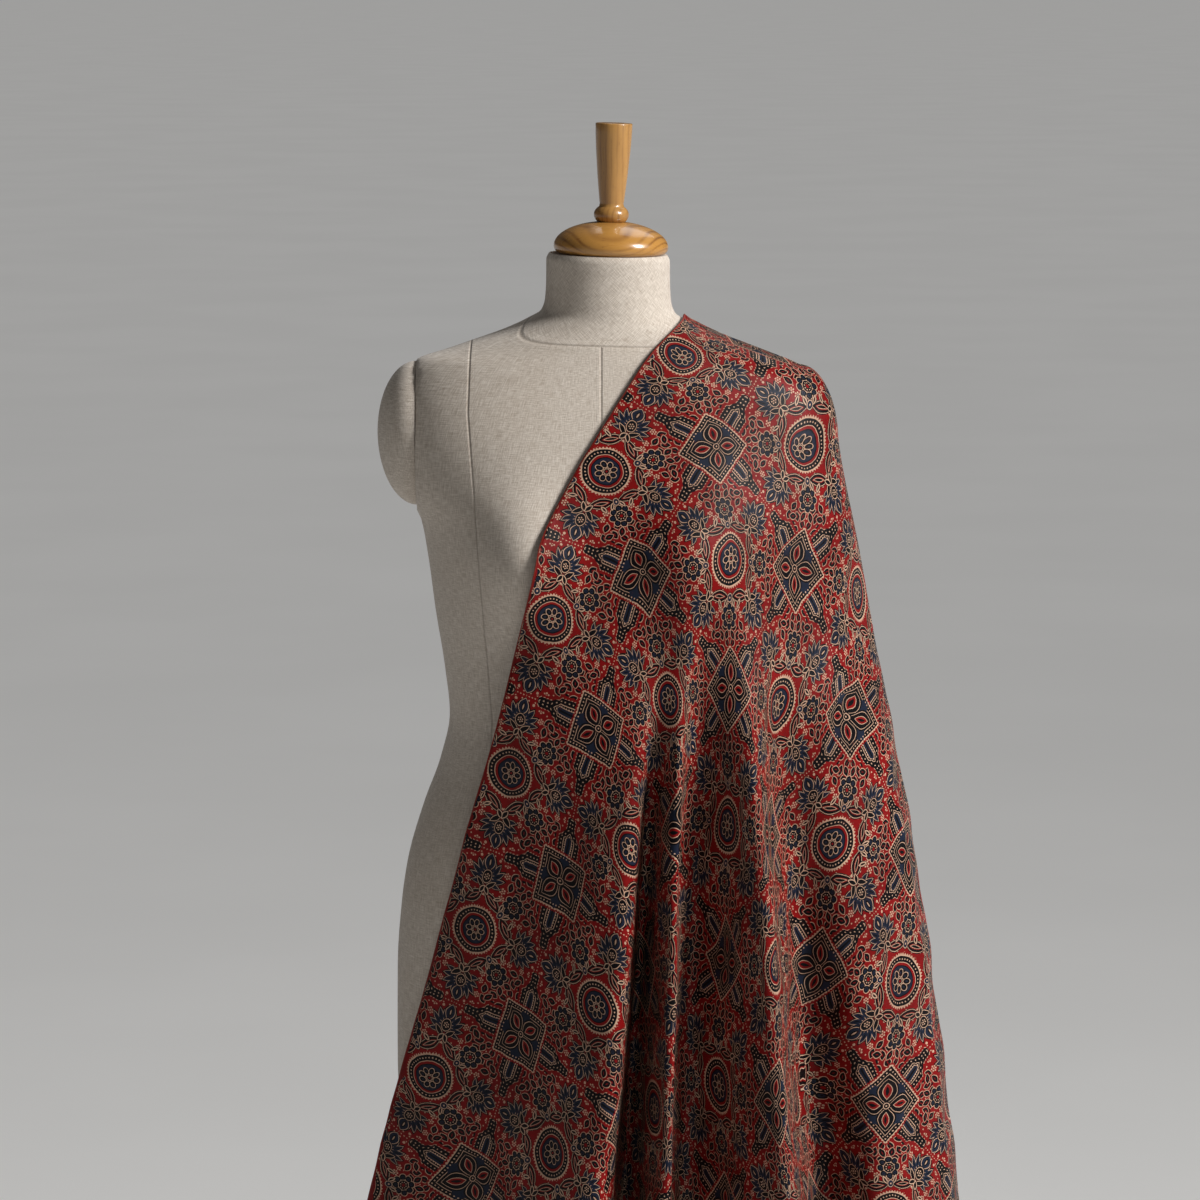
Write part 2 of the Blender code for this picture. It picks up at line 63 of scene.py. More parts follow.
# Its sections: height, half width, depth in front, depth behind, squareness, centre towards the back.
FORM_SECTIONS = (
    (0.8, 0.183, 0.11, 0.122, 2.3, 0), (0.86, 0.188, 0.114, 0.13, 2.3, 0),
    (0.952, 0.1873, 0.115, 0.132, 2.3, 0), (1.007, 0.1833, 0.114, 0.127, 2.3, 0),
    (1.045, 0.1777, 0.112, 0.119, 2.3, 0), (1.096, 0.1631, 0.108, 0.103, 2.25, 0),
    (1.138, 0.1478, 0.103, 0.091, 2.2, 0), (1.178, 0.1396, 0.1, 0.085, 2.2, 0),
    (1.22, 0.1437, 0.103, 0.088, 2.2, 0), (1.27, 0.1514, 0.108, 0.097, 2.25, 0),
    (1.32, 0.1581, 0.109, 0.104, 2.3, 0), (1.35, 0.164, 0.106, 0.107, 2.35, 0),
    (1.365, 0.172, 0.104, 0.107, 2.35, 0), (1.385, 0.18, 0.1, 0.106, 2.35, 0),
    (1.42, 0.185, 0.092, 0.101, 2.35, 0), (1.45, 0.185, 0.082, 0.091, 2.3, 0),
    (1.472, 0.18, 0.074, 0.08, 2.2, 0), (1.4868, 0.1665, 0.069, 0.073, 2.1, 0),
    (1.496, 0.141, 0.066, 0.068, 2.05, 0), (1.5043, 0.1185, 0.063, 0.063, 2, 0),
    (1.515, 0.09, 0.058, 0.059, 2, 0), (1.5244, 0.0706, 0.055, 0.057, 2, 0),
    (1.5322, 0.0583, 0.053, 0.055, 2, -0.001), (1.5427, 0.0548, 0.052, 0.053, 2, -0.002),
    (1.56, 0.0538, 0.051, 0.052, 2, -0.003), (1.5775, 0.0536, 0.0505, 0.0505, 2, -0.0045),
    (1.5825, 0.0512, 0.0482, 0.0482, 2, -0.005),
)
# Each side of the bust: place across, height, depth, spread across and up.
BUST_ACROSS = 0.078
BUST_HEIGHT = 1.322
BUST_OUT = 0.031
BUST_SPREAD_X = 0.048
BUST_SPREAD_Z = 0.058
# Lean: how much lower for each metre across, from one height up and in full at the next.
LEAN = 0.022
LEAN_FROM = 1.25
LEAN_FULL = 1.42
# Neck cap: place (x, y), radius, heights of its rim and dome, and the ball's seat above its foot.
CAP_PLACE = (0.0025, -0.005)
CAP_RADIUS = 0.0497
CAP_RIM = 0.0060
CAP_DOME = 0.0220
SOCKET_HEIGHT = 0.0230
# Arm stubs: half an ellipsoid on each armhole, the covered one pressed in.
STUB_HEIGHT = 1.4225
STUB_HALF_HEIGHT = 0.0625
STUB_HALF_DEPTH = 0.047
STUB_REACH = 0.0343
STUB_REACH_COVERED = 0.0300

# Cloth, as the solid has it, but for the second hollow in front, which is drawn closer under its ridge.
# Its outline over the shoulder and down the arm's side: height, place across. The top edge of its front and
# back halves goes from the first point to the one numbered ARM_TIP.
TOP_LINE = (
    (1.5295, 0.0665), (1.5170, 0.0890), (1.5060, 0.1160), (1.4960, 0.1420),
    (1.4852, 0.1675), (1.4708, 0.1862), (1.4550, 0.1960), (1.4300, 0.2010),
    (1.3954, 0.2055), (1.3690, 0.2110), (1.3300, 0.2206),
)
ARM_TIP = 5
# For a rise from bust level to the shoulder, how much of its way across a line has gone, at either edge.
RISE = (0.0, 0.10, 0.25, 0.40, 0.55, 0.70, 0.86, 1.0)
RISE_SELVEDGE = (0.0, 0.034, 0.155, 0.285, 0.435, 0.590, 0.765, 1.0)
RISE_ARM = (0.0, 0.090, 0.235, 0.370, 0.480, 0.570, 0.690, 1.0)
# How far the middle of the cloth stays off the form.
CLOTH_CLEAR = 4.2 * MM
# Power that sets the rows closer at the shoulder, and squareness of the cloth's outline round the form.
ROW_EASE = 1.7
WRAP_SQUARE = 2.3
# Share and heights of the evening out, and over how much height it starts and ends.
RELAX_AMOUNT = 0.35
RELAX_FROM = 1.15
RELAX_TO = 1.465
RELAX_STARTS = 0.10
RELAX_ENDS = 0.03
# Share and highest place of the softening, and over how much height it starts and ends.
SOFTEN_AMOUNT = 0.5
SOFTEN_TO = 1.33
SOFTEN_STARTS = 0.08
SOFTEN_ENDS = 0.05
# Heights where the lines turn towards the shoulder, and where the cloth starts to leave the form.
BUST_LEVEL = 1.330
HANGS_FROM = 1.308
FOLD_HEIGHTS = (1.200, 1.080, 0.950, 0.800, 0.600)
# Lines down the cloth: share of the way along the shoulder, hem height (metres), place across at bust level,
# then place across and behind the shoulder line (millimetres) at each of the fold heights. They are the near
# selvedge, a panel, three ridges with a hollow after each, the arm's panel and hollow, the side's panel and the
# side.
SIDE_LINE = (1.00, 0.620, 220.6, (244.6, -4), (268, -4), (288.6, -4), (308.5, -4), (333, -4))
FRONT_LINES = (
    (0.00, 0.690, -61, (-92, -112), (-125, -92), (-160, -76), (-201, -60), (-250, -48)),
    (0.14, 0.566, -20, (-35, -130), (-55, -126), (-77, -126), (-105, -122), (-140, -118)),
    (0.27, 0.446, 33, (24, -140), (14, -160), (6, -174), (-8, -184), (-35, -192)),
    (0.34, 0.375, 53, (42, -135), (33, -128), (25, -121), (15, -117), (-4, -112)),
    (0.42, 0.290, 75, (62, -143), (57, -164), (54, -180), (49, -192), (40, -200)),
    (0.51, 0.200, 93, (79, -127), (75, -118), (73, -114), (70, -108), (66, -100)),
    (0.61, 0.100, 116, (119, -141), (130, -158), (140, -170), (152, -180), (168, -188)),
    (0.71, 0.274, 140, (144, -114), (156, -98), (167, -86), (182, -78), (200, -70)),
    (0.80, 0.372, 172, (182, -98), (200, -98), (215, -101), (232, -104), (252, -108)),
    (0.87, 0.467, 195, (213, -74), (236, -74), (254, -74), (272, -76), (295, -78)),
    (0.94, 0.547, 213, (235, -42), (259, -43), (280, -42), (299, -42), (323, -42)),
    SIDE_LINE,
)
BACK_LINES = (
    (0.00, 0.600, 50, (42, 118), (34, 128), (26, 148), (18, 154), (8, 152)),
    (0.14, 0.520, 72, (66, 124), (60, 136), (54, 152), (48, 157), (40, 158)),
    (0.27, 0.430, 90, (88, 132), (84, 152), (80, 176), (76, 188), (70, 196)),
    (0.34, 0.380, 104, (104, 122), (101, 128), (98, 141), (95, 142), (92, 138)),
    (0.42, 0.300, 118, (122, 134), (120, 154), (120, 178), (118, 192), (116, 202)),
    (0.51, 0.220, 132, (140, 114), (142, 112), (146, 120), (148, 116), (150, 110)),
    (0.61, 0.120, 148, (160, 122), (166, 136), (174, 152), (182, 164), (190, 174)),
    (0.71, 0.250, 164, (178, 98), (186, 94), (196, 92), (206, 90), (216, 86)),
    (0.80, 0.340, 182, (200, 92), (210, 101), (222, 112), (234, 118), (246, 124)),
    (0.87, 0.450, 199, (220, 68), (236, 76), (252, 80), (268, 84), (284, 88)),
    (0.94, 0.540, 214, (237, 38), (258, 42), (277, 44), (296, 46), (318, 46)),
    SIDE_LINE,
)
# The sheet's far corners hang on this line.
CORNER_LINE = 6
# Rows, and columns for each line, of the sheet as it is laid flat and as it shows.
COARSE = (32, 3)
FINE = (150, 12)
SILK_THICKNESS = 0.0006

# The sheet as it is cut, and its print.
FLAT_WIDTH = 0.91
FLAT_FRONT = 0.95
FLAT_BACK = 0.95
REPEAT = 0.145
# Its first medallion, in repeats from the near selvedge and down from the shoulder line.
SELVEDGE_TO_MEDALLION = 0.19
TOP_TO_MEDALLION = 0.30
# Where the print's medallions and squares lie on the front: repeats down and across, then millimetres across
# and up.
PRINT_PLACES = (
    (0, 0, 64, 1497), (1, 0, -1, 1404), (2, 0, -46, 1282), (3, 0, -82, 1146),
    (4, 0, -114, 1004), (5, 0, -158, 864), (0, 1, 164, 1419), (1, 1, 105, 1334),
    (2, 1, 53, 1215), (3, 1, 17, 1089), (4, 1, -11, 954), (5, 1, -46, 824),
    (0, 2, 217, 1289), (1, 2, 143, 1204), (2, 2, 106, 1105), (1, 3, 192, 1081),
    (2, 3, 139, 988), (1, 4, 254, 952), (2, 4, 162, 864), (4, 2, 42, 862),
    (0.5, 3.5, 260, 1062), (0.5, 2.5, 203, 1189), (1.5, 3.5, 184, 967), (1.5, 4.5, 241, 845),
    (0.5, 0.5, 93, 1425), (1.5, 0.5, 30, 1324), (2.5, 0.5, -6, 1190), (3.5, 0.5, -39, 1058),
    (4.5, 0.5, -74, 920), (5.5, 0.5, -114, 786), (0.5, 1.5, 158, 1319), (1.5, 1.5, 105, 1224),
    (2.5, 1.5, 61, 1103), (3.5, 1.5, 30, 972), (1.5, 2.5, 136, 1098), (2.5, 2.5, 105, 984),
)
# How firmly these places hold the sheet as it is laid flat, and in how many passes.
PIN_STRENGTH = 12.0
FLATTEN_PASSES = 60
# Ripples of the hanging silk: direction (degrees), wavelength (metres), phase, height (millimetres), then the
# height under which they start and over how much height they grow.
CREASES = ((18, 0.061, 0.4, 0.8), (-24, 0.043, 2.1, 0.5), (4, 0.088, 4.0, 1.4), (38, 0.035, 1.2, 0.3))
CREASED_BELOW = 1.30
CREASES_GROW = 0.25
# Crests and the troughs beside them: line of the cloth's front, height (millimetres), half width in lines, then
# the same two heights.
CRESTS = (
    (2.00, 2.4, 0.17), (4.00, 3.2, 0.17), (4.55, -4.5, 0.30), (6.00, 3.4, 0.12),
    (6.45, -2.0, 0.25), (8.60, 1.6, 0.15), (9.90, 1.8, 0.16),
)
CRESTED_BELOW = 1.24
CRESTS_GROW = 0.20

# How much of each cream outline its filling takes back.
LINE_THINNING = 0.26
# Pitch of the specks in the open ground and radius of the beads, in repeats.
SPECK_PITCH = 0.0455
BEAD = 0.0045
# Angle of the first petal of a palmette and between two of them, radians.
PETAL_TURN = 0.30
PETAL_PITCH = math.radians(25.5)

# Studio: half the floor's side, and how far under the foot it lies.
FLOOR_HALF = 400.0
FLOOR_GAP = 0.0005
# The point that the lamps shine at.
LIT_POINT = (0.0, 0.0, 1.25)


def smooth_curve(xs, ys, x):
    """Cubic through the points (xs rising) with slopes that never overshoot; straight beyond its ends."""
    xs = np.asarray(xs, float)
    ys = np.asarray(ys, float)
    x = np.asarray(x, float)
    step = np.diff(xs)
    slope = np.diff(ys) / step
    tangent = np.zeros(len(xs))
    tangent[0] = slope[0]
    tangent[-1] = slope[-1]
    for k in range(1, len(xs) - 1):
        if slope[k - 1] * slope[k] > 0:
            w1 = 2 * step[k] + step[k - 1]
            w2 = step[k] + 2 * step[k - 1]
            tangent[k] = (w1 + w2) / (w1 / slope[k - 1] + w2 / slope[k])
    k = np.clip(np.searchsorted(xs, x) - 1, 0, len(xs) - 2)
    h = step[k]
    f = (x - xs[k]) / h
    g = np.clip(f, 0.0, 1.0)
    inside = (
        (2 * g ** 3 - 3 * g ** 2 + 1) * ys[k]
        + (g ** 3 - 2 * g ** 2 + g) * h * tangent[k]
        + (3 * g ** 2 - 2 * g ** 3) * ys[k + 1]
        + (g ** 3 - g ** 2) * h * tangent[k + 1]
    )
    before = np.where(f < 0, f * h * tangent[0], 0.0)
    return inside + before + np.where(f > 1, (f - 1) * h * tangent[-1], 0.0)


def ease(f):
    f = np.clip(f, 0.0, 1.0)
    return f * f * (3 - 2 * f)


def lean_drop(x, z):
    """How far the form's lean lowers a point."""
    return LEAN * x * ease((z - LEAN_FROM) / (LEAN_FULL - LEAN_FROM))


def form_section(z):
    rows = np.array(FORM_SECTIONS)
    z = np.clip(z, rows[0, 0], rows[-1, 0])
    return [smooth_curve(rows[:, 0], rows[:, c], z) for c in range(1, 6)]


def bust(x, z):
    """Extra depth of the bust at a place on the front."""
    across = (np.abs(x) - BUST_ACROSS) / BUST_SPREAD_X
    up = (z - BUST_HEIGHT) / BUST_SPREAD_Z
    return BUST_OUT * np.exp(-(across ** 2 + up ** 2))


def push_off_form(x, y, z, clear):
    """Moves points that are inside the form, or nearer than the clearance, out from its middle."""
    level = z + lean_drop(x, z)
    for _ in range(3):
        width, front, back, square, centre = form_section(level)
        width = np.where(level > WAIST_HEIGHT, np.minimum(width, ARMHOLE_X), width) + clear
        depth = np.where(y < centre, front + bust(x, level), back) + clear
        rel = (np.abs(x / width) ** square + np.abs((y - centre) / depth) ** square) ** (1 / square)
        inside = (rel < 1.0) & (level > FORM_BOTTOM - 20 * MM) & (level < NECK_TOP)
        scale = np.where(inside, 1.0 / np.maximum(rel, 0.05), 1.0)
        x = x * scale
        y = centre + (y - centre) * scale
    out = np.maximum(np.abs(x) - ARMHOLE_X, 0.0) / (STUB_REACH_COVERED + clear)
    side = y / (STUB_HALF_DEPTH + clear)
    up = (level - STUB_HEIGHT) / (STUB_HALF_HEIGHT + clear)
    rel = np.sqrt(out ** 2 + side ** 2 + up ** 2)
    push = np.where((rel < 1.0) & (x > ARMHOLE_X), 1.0 / np.maximum(rel, 0.3), 1.0)
    x = np.where(push > 1.0, ARMHOLE_X + (x - ARMHOLE_X) * push, x)
    y = y * push
    z = z + (level - STUB_HEIGHT) * (push - 1.0)
    return x, y, z


def shoulder_line(share):
    """Place across and height of the cloth's top line, a share of the way from the neck to the arm."""
    top = np.array(TOP_LINE)[:ARM_TIP + 1]
    across = top[0, 1] + (top[-1, 1] - top[0, 1]) * share
    return across, smooth_curve(top[:, 1], top[:, 0], across)


def line_plan(row, z, facing):
    """Place across and towards the back of one line of the cloth at the heights z."""
    share, bust_x = row[0], row[2] * MM
    heights = np.array(FOLD_HEIGHTS)[::-1]
    across = np.array([place[0] for place in row[3:]])[::-1] * MM
    behind = np.array([place[1] for place in row[3:]])[::-1] * MM
    top_x, top_z = shoulder_line(share)
    rise = np.clip((z - BUST_LEVEL) / (top_z - BUST_LEVEL), 0.0, 1.0)
    moved = (1 - share) * smooth_curve(RISE, RISE_SELVEDGE, rise) + share * smooth_curve(RISE, RISE_ARM, rise)
    upper = bust_x + (top_x - bust_x) * moved
    lower = smooth_curve(np.append(heights, BUST_LEVEL), np.append(across, bust_x), z)
    x = np.where(z > BUST_LEVEL, upper, lower)
    top = np.array(TOP_LINE)[::-1]
    reach = smooth_curve(top[:, 0], top[:, 1], np.clip(z, BUST_LEVEL, top[-1, 0]))
    width, front, back, square, centre = form_section(z + lean_drop(x, z))
    depth = (front + bust(x, z) if facing < 0 else back) + CLOTH_CLEAR
    fill = np.clip(1 - np.abs(x / reach) ** WRAP_SQUARE, 0.0, 1.0) ** (1 / WRAP_SQUARE)
    lying = facing * depth * fill
    hanging = smooth_curve(heights, behind, np.minimum(z, FOLD_HEIGHTS[0]))
    return x, lying + (hanging - lying) * ease((HANGS_FROM - z) / (HANGS_FROM - FOLD_HEIGHTS[0]))


def spline_weights(f):
    """Weights of four neighbours for a place a part f of the way from the second to the third."""
    return (
        -0.5 * f + f ** 2 - 0.5 * f ** 3,
        1 - 2.5 * f ** 2 + 1.5 * f ** 3,
        0.5 * f + 2 * f ** 2 - 1.5 * f ** 3,
        -0.5 * f ** 2 + 0.5 * f ** 3,
    )


def cloth_half(lines, facing, rows, per_line):
    """One half of the cloth, from the shoulder down: arrays of columns by rows."""
    last = len(lines) - 1
    place = np.linspace(0, last, last * per_line + 1)
    share = np.interp(place, range(last + 1), [row[0] for row in lines])
    hem = np.interp(place, range(last + 1), [row[1] for row in lines])
    top_z = shoulder_line(share)[1]
    fall = np.linspace(0, 1, rows + 1) ** ROW_EASE
    z = top_z[:, None] - (top_z - hem)[:, None] * fall[None, :]
    x = np.zeros_like(z)
    y = np.zeros_like(z)
    for c, at in enumerate(place):
        before = int(math.floor(at + 1e-9))
        for offset, weight in zip(range(-1, 3), spline_weights(at - before)):
            row = lines[min(max(before + offset, 0), last)]
            # Above the bust each line is read as far up its own length as the column is up its own.
            stretch = (shoulder_line(row[0])[1] - BUST_LEVEL) / (top_z[c] - BUST_LEVEL)
            level = np.where(z[c] > BUST_LEVEL, BUST_LEVEL + (z[c] - BUST_LEVEL) * stretch, z[c])
            line_x, line_y = line_plan(row, level, facing)
            x[c] += weight * line_x
            y[c] += weight * line_y
    return x, y, z


class Sheet:
    """The cloth's middle surface: points, quads, triangles, edges and each point's place on it."""

    def __init__(self, rows, per_line):
        self.rows = rows
        self.per_line = per_line
        halves = (cloth_half(FRONT_LINES, -1, rows, per_line), cloth_half(BACK_LINES, 1, rows, per_line))
        self.columns = halves[0][0].shape[0]
        self.number = -np.ones((2, self.columns, rows + 1), int)
        points = []
        place = []
        for side, (x, y, z) in enumerate(halves):
            for c in range(self.columns):
                for r in range(rows + 1):
                    if side == 1 and (r == 0 or c == self.columns - 1):
                        self.number[side, c, r] = self.number[0, c, r]
                        continue
                    self.number[side, c, r] = len(points)
                    points.append((x[c, r], y[c, r], z[c, r]))
                    place.append((side, c / per_line, r / rows))
        self.place = np.array(place)
        self.quads = []
        uses = {}
        for side in (0, 1):
            for c in range(self.columns - 1):
                for r in range(rows):
                    ring = [int(self.number[side, c + i, r + j]) for i, j in ((0, 0), (0, 1), (1, 1), (1, 0))]
                    self.quads.append(ring if side == 0 else ring[::-1])
                    for a, b in zip(ring, ring[1:] + ring[:1]):
                        key = (min(a, b), max(a, b))
                        uses[key] = uses.get(key, 0) + 1
        quads = np.array(self.quads)
        self.tris = np.concatenate([quads[:, [0, 1, 2]], quads[:, [0, 2, 3]]])
        self.edges = np.array(sorted(uses))
        rim = {v for key, count in uses.items() if count == 1 for v in key}
        self.free = np.array([0.0 if i in rim else 1.0 for i in range(len(points))])
        self.points = np.array(points)

    def even_out(self, amount):
        """Moves each point a part of the way to the middle of its neighbours."""
        a, b = self.edges.T
        total = np.zeros_like(self.points)
        np.add.at(total, a, self.points[b])
        np.add.at(total, b, self.points[a])
        degree = np.bincount(self.edges.ravel(), minlength=len(self.points))
        self.points = self.points + amount[:, None] * (total / degree[:, None] - self.points)

    def relax(self, passes):
        """Evens out the cloth where it lies on the form, and keeps it off the form."""
        for _ in range(passes):
            z = self.points[:, 2]
            band = ease((z - RELAX_FROM) / RELAX_STARTS) * ease((RELAX_TO - z) / RELAX_ENDS)
            self.even_out(RELAX_AMOUNT * self.free * band)
            self.points = np.stack(push_off_form(*self.points.T, CLOTH_CLEAR), axis=1)

    def soften(self, passes):
        """Rounds the hanging folds without moving the rim."""
        z = self.points[:, 2]
        band = ease(z / SOFTEN_STARTS) * ease((SOFTEN_TO - z) / SOFTEN_ENDS)
        for _ in range(passes):
            self.even_out(SOFTEN_AMOUNT * band * self.free)


def cross_2d(p, q):
    return p[:, 0] * q[:, 1] - p[:, 1] * q[:, 0]


def dots(p, q):
    return np.einsum("ij,ij->i", p, q)


def flatten(sheet, pins):
    """Lays the sheet flat with as little stretch as it can: width and length in metres for each point.

    pins are (four point numbers, their weights, flat place) for marks whose flat place is known."""
    points, tris = sheet.points, sheet.tris
    count = len(points)
    a, b, c = points[tris[:, 0]], points[tris[:, 1]], points[tris[:, 2]]
    along = b - a
    length = np.linalg.norm(along, axis=1)
    along = along / length[:, None]
    out = np.cross(b - a, c - a)
    out = out / np.linalg.norm(out, axis=1)[:, None]
    across = np.cross(out, along)
    local = np.zeros((len(tris), 3, 2))
    local[:, 1, 0] = length
    local[:, 2, 0] = dots(c - a, along)
    local[:, 2, 1] = dots(c - a, across)
    weights = np.zeros((len(tris), 3))
    for k in range(3):
        p, q, r = local[:, k], local[:, (k + 1) % 3], local[:, (k + 2) % 3]
        weights[:, k] = np.maximum(0.5 * dots(q - p, r - p) / cross_2d(q - p, r - p), 0.02)
    system = np.zeros((count, count))
    for k in range(3):
        i, j, w = tris[:, (k + 1) % 3], tris[:, (k + 2) % 3], weights[:, k]
        np.add.at(system, (i, i), w)
        np.add.at(system, (j, j), w)
        np.add.at(system, (i, j), -w)
        np.add.at(system, (j, i), -w)
    fixed = rim_places(sheet)
    start = system.copy()
    known = np.array(sorted(fixed))
    start[known] = 0.0
    start[known, known] = 1.0
    right = np.zeros((count, 2))
    right[known] = np.array([fixed[k] for k in known])
    flat = np.linalg.solve(start, right)
    held = np.zeros((count, 2))
    for numbers, shares, target in pins:
        system[np.ix_(numbers, numbers)] += PIN_STRENGTH * np.outer(shares, shares)
        held[numbers] += PIN_STRENGTH * np.outer(shares, target)
    inverse = np.linalg.inv(system + 1e-7 * np.eye(count))
    for _ in range(FLATTEN_PASSES):
        turn = np.zeros((len(tris), 2, 2))
        for k in range(3):
            i, j, w = (k + 1) % 3, (k + 2) % 3, weights[:, k]
            before = local[:, i] - local[:, j]
            after = flat[tris[:, i]] - flat[tris[:, j]]
            turn += w[:, None, None] * after[:, :, None] * before[:, None, :]
        angle = np.arctan2(turn[:, 1, 0] - turn[:, 0, 1], turn[:, 0, 0] + turn[:, 1, 1])
        cosine, sine = np.cos(angle), np.sin(angle)
        right = held.copy()
        for k in range(3):
            i, j, w = (k + 1) % 3, (k + 2) % 3, weights[:, k]
            before = local[:, i] - local[:, j]
            x, y = before.T
            turned = np.stack([cosine * x - sine * y, sine * x + cosine * y], axis=1)
            np.add.at(right, tris[:, i], w[:, None] * turned)
            np.add.at(right, tris[:, j], -w[:, None] * turned)
        flat = inverse @ right
    return flat


def rim_places(sheet):
    """A first guess of where the sheet's rim lies flat: on the rectangle that it is cut as."""
    number, rows, last = sheet.number, sheet.rows, sheet.columns - 1
    corner = CORNER_LINE * sheet.per_line
    fixed = {}
    for side, end in ((0, -FLAT_FRONT), (1, FLAT_BACK)):
        runs = (
            ([number[side, 0, r] for r in range(rows + 1)], (0, 0), (0, end)),
            ([number[side, c, rows] for c in range(corner + 1)], (0, end), (FLAT_WIDTH, end)),
            ([number[side, c, rows] for c in range(corner, last + 1)], (FLAT_WIDTH, end), (FLAT_WIDTH, 0)),
        )
        for line, first, final in runs:
            steps = [float(np.linalg.norm(sheet.points[q] - sheet.points[p])) for p, q in zip(line, line[1:])]
            gone = np.cumsum([0.0] + steps)
            for n, g in zip(line, gone / gone[-1]):
                fixed[int(n)] = (first[0] + (final[0] - first[0]) * g, first[1] + (final[1] - first[1]) * g)
    return fixed


def print_pins(sheet):
    """The marks of the print with a known place, each tied to the foremost triangle that it falls in."""
    points, tris = sheet.points, sheet.tris
    flat_view = points[:, [0, 2]]
    a, b, c = flat_view[tris[:, 0]], flat_view[tris[:, 1]], flat_view[tris[:, 2]]
    whole = cross_2d(b - a, c - a)
    whole = np.where(np.abs(whole) < 1e-12, 1e-12, whole)
    pins = []
    for down, over, x, z in PRINT_PLACES:
        spot = np.array([x * MM, z * MM])
        share_b = cross_2d(spot - a, c - a) / whole
        share_c = cross_2d(b - a, spot - a) / whole
        shares = np.stack([1 - share_b - share_c, share_b, share_c], axis=1)
        hit = np.where(shares.min(axis=1) >= -1e-6)[0]
        if len(hit) == 0:
            continue
        best = hit[np.argmin(dots(shares[hit], points[tris[hit], 1]))]
        flat = np.array([(over + SELVEDGE_TO_MEDALLION) * REPEAT, -(down + TOP_TO_MEDALLION) * REPEAT])
        pins.append((tris[best], shares[best], flat))
    return pins


def finer(values, coarse, fine):
    """Carries values per point from a coarse sheet to a finer one of the same shape."""
    grid = np.array([[values[coarse.number[s, c]] for c in range(coarse.columns)] for s in (0, 1)])
    side = fine.place[:, 0].astype(int)
    across = fine.place[:, 1] * coarse.per_line
    down = fine.place[:, 2] * coarse.rows
    c0 = np.clip(np.floor(across + 1e-9).astype(int), 0, coarse.columns - 2)
    r0 = np.clip(np.floor(down + 1e-9).astype(int), 0, coarse.rows - 1)
    wc = spline_weights(across - c0)
    wr = spline_weights(down - r0)

    def at(c, r):
        ce = np.clip(c, 0, coarse.columns - 1)
        re = np.clip(r, 0, coarse.rows)
        inner_c = np.clip(2 * ce - c, 0, coarse.columns - 1)
        inner_r = np.clip(2 * re - r, 0, coarse.rows)
        edge = grid[side, ce, re]
        return 3 * edge - grid[side, inner_c, re] - grid[side, ce, inner_r]

    total = 0.0
    for i in range(4):
        for j in range(4):
            total = total + (wc[i] * wr[j])[:, None] * at(c0 + i - 1, r0 + j - 1)
    return total


def point_normals(sheet):
    quads = np.array(sheet.quads)
    p = sheet.points
    face = np.cross(p[quads[:, 2]] - p[quads[:, 0]], p[quads[:, 3]] - p[quads[:, 1]])
    normal = np.zeros_like(p)
    for k in range(4):
        np.add.at(normal, quads[:, k], face)
    return normal / np.maximum(np.linalg.norm(normal, axis=1), 1e-12)[:, None]


def crease(sheet, flat):
    """Small uneven ripples of the silk under the bust, and sharper crests on the front's hanging folds."""
    u, v = flat[:, 0], flat[:, 1]
    z = sheet.points[:, 2]
    free = ease((CREASED_BELOW - z) / CREASES_GROW)
    waves = np.zeros(len(u))
    for turn, wave, phase, height in CREASES:
        cosine, sine = math.cos(math.radians(turn)), math.sin(math.radians(turn))
        along = u * sine - v * cosine
        across = u * cosine + v * sine
        # Each wave bends, and swells and dies away, along its length.
        bend = 0.35 * wave * np.sin(along * 2 * math.pi / (wave * 5.3) + phase * 2.1)
        swell = np.sin(along * 2 * math.pi / (wave * 4.1) + phase)
        slow = 0.5 + 0.5 * swell * np.sin(across * 9.0 + phase * 3.7)
        waves += height * MM * slow * np.sin((across + bend) * 2 * math.pi / wave + phase)
    waves = waves * free
    front = (sheet.place[:, 0] < 0.5) * ease((CRESTED_BELOW - z) / CRESTS_GROW)
    for line, height, width in CRESTS:
        waves += height * MM * front * np.exp(-((sheet.place[:, 1] - line) / width) ** 2)
    sheet.points = sheet.points + waves[:, None] * point_normals(sheet)


def rim_distance(sheet):
    """How far each point of the sheet is from its nearest edge, in metres."""
    rim = sheet.points[sheet.free < 0.5]
    nearest = np.full(len(sheet.points), 1.0)
    at_once = 4000
    for first in range(0, len(sheet.points), at_once):
        part = sheet.points[first:first + at_once]
        apart = np.linalg.norm(part[:, None, :] - rim[None, :, :], axis=2)
        nearest[first:first + at_once] = apart.min(axis=1)
    return nearest


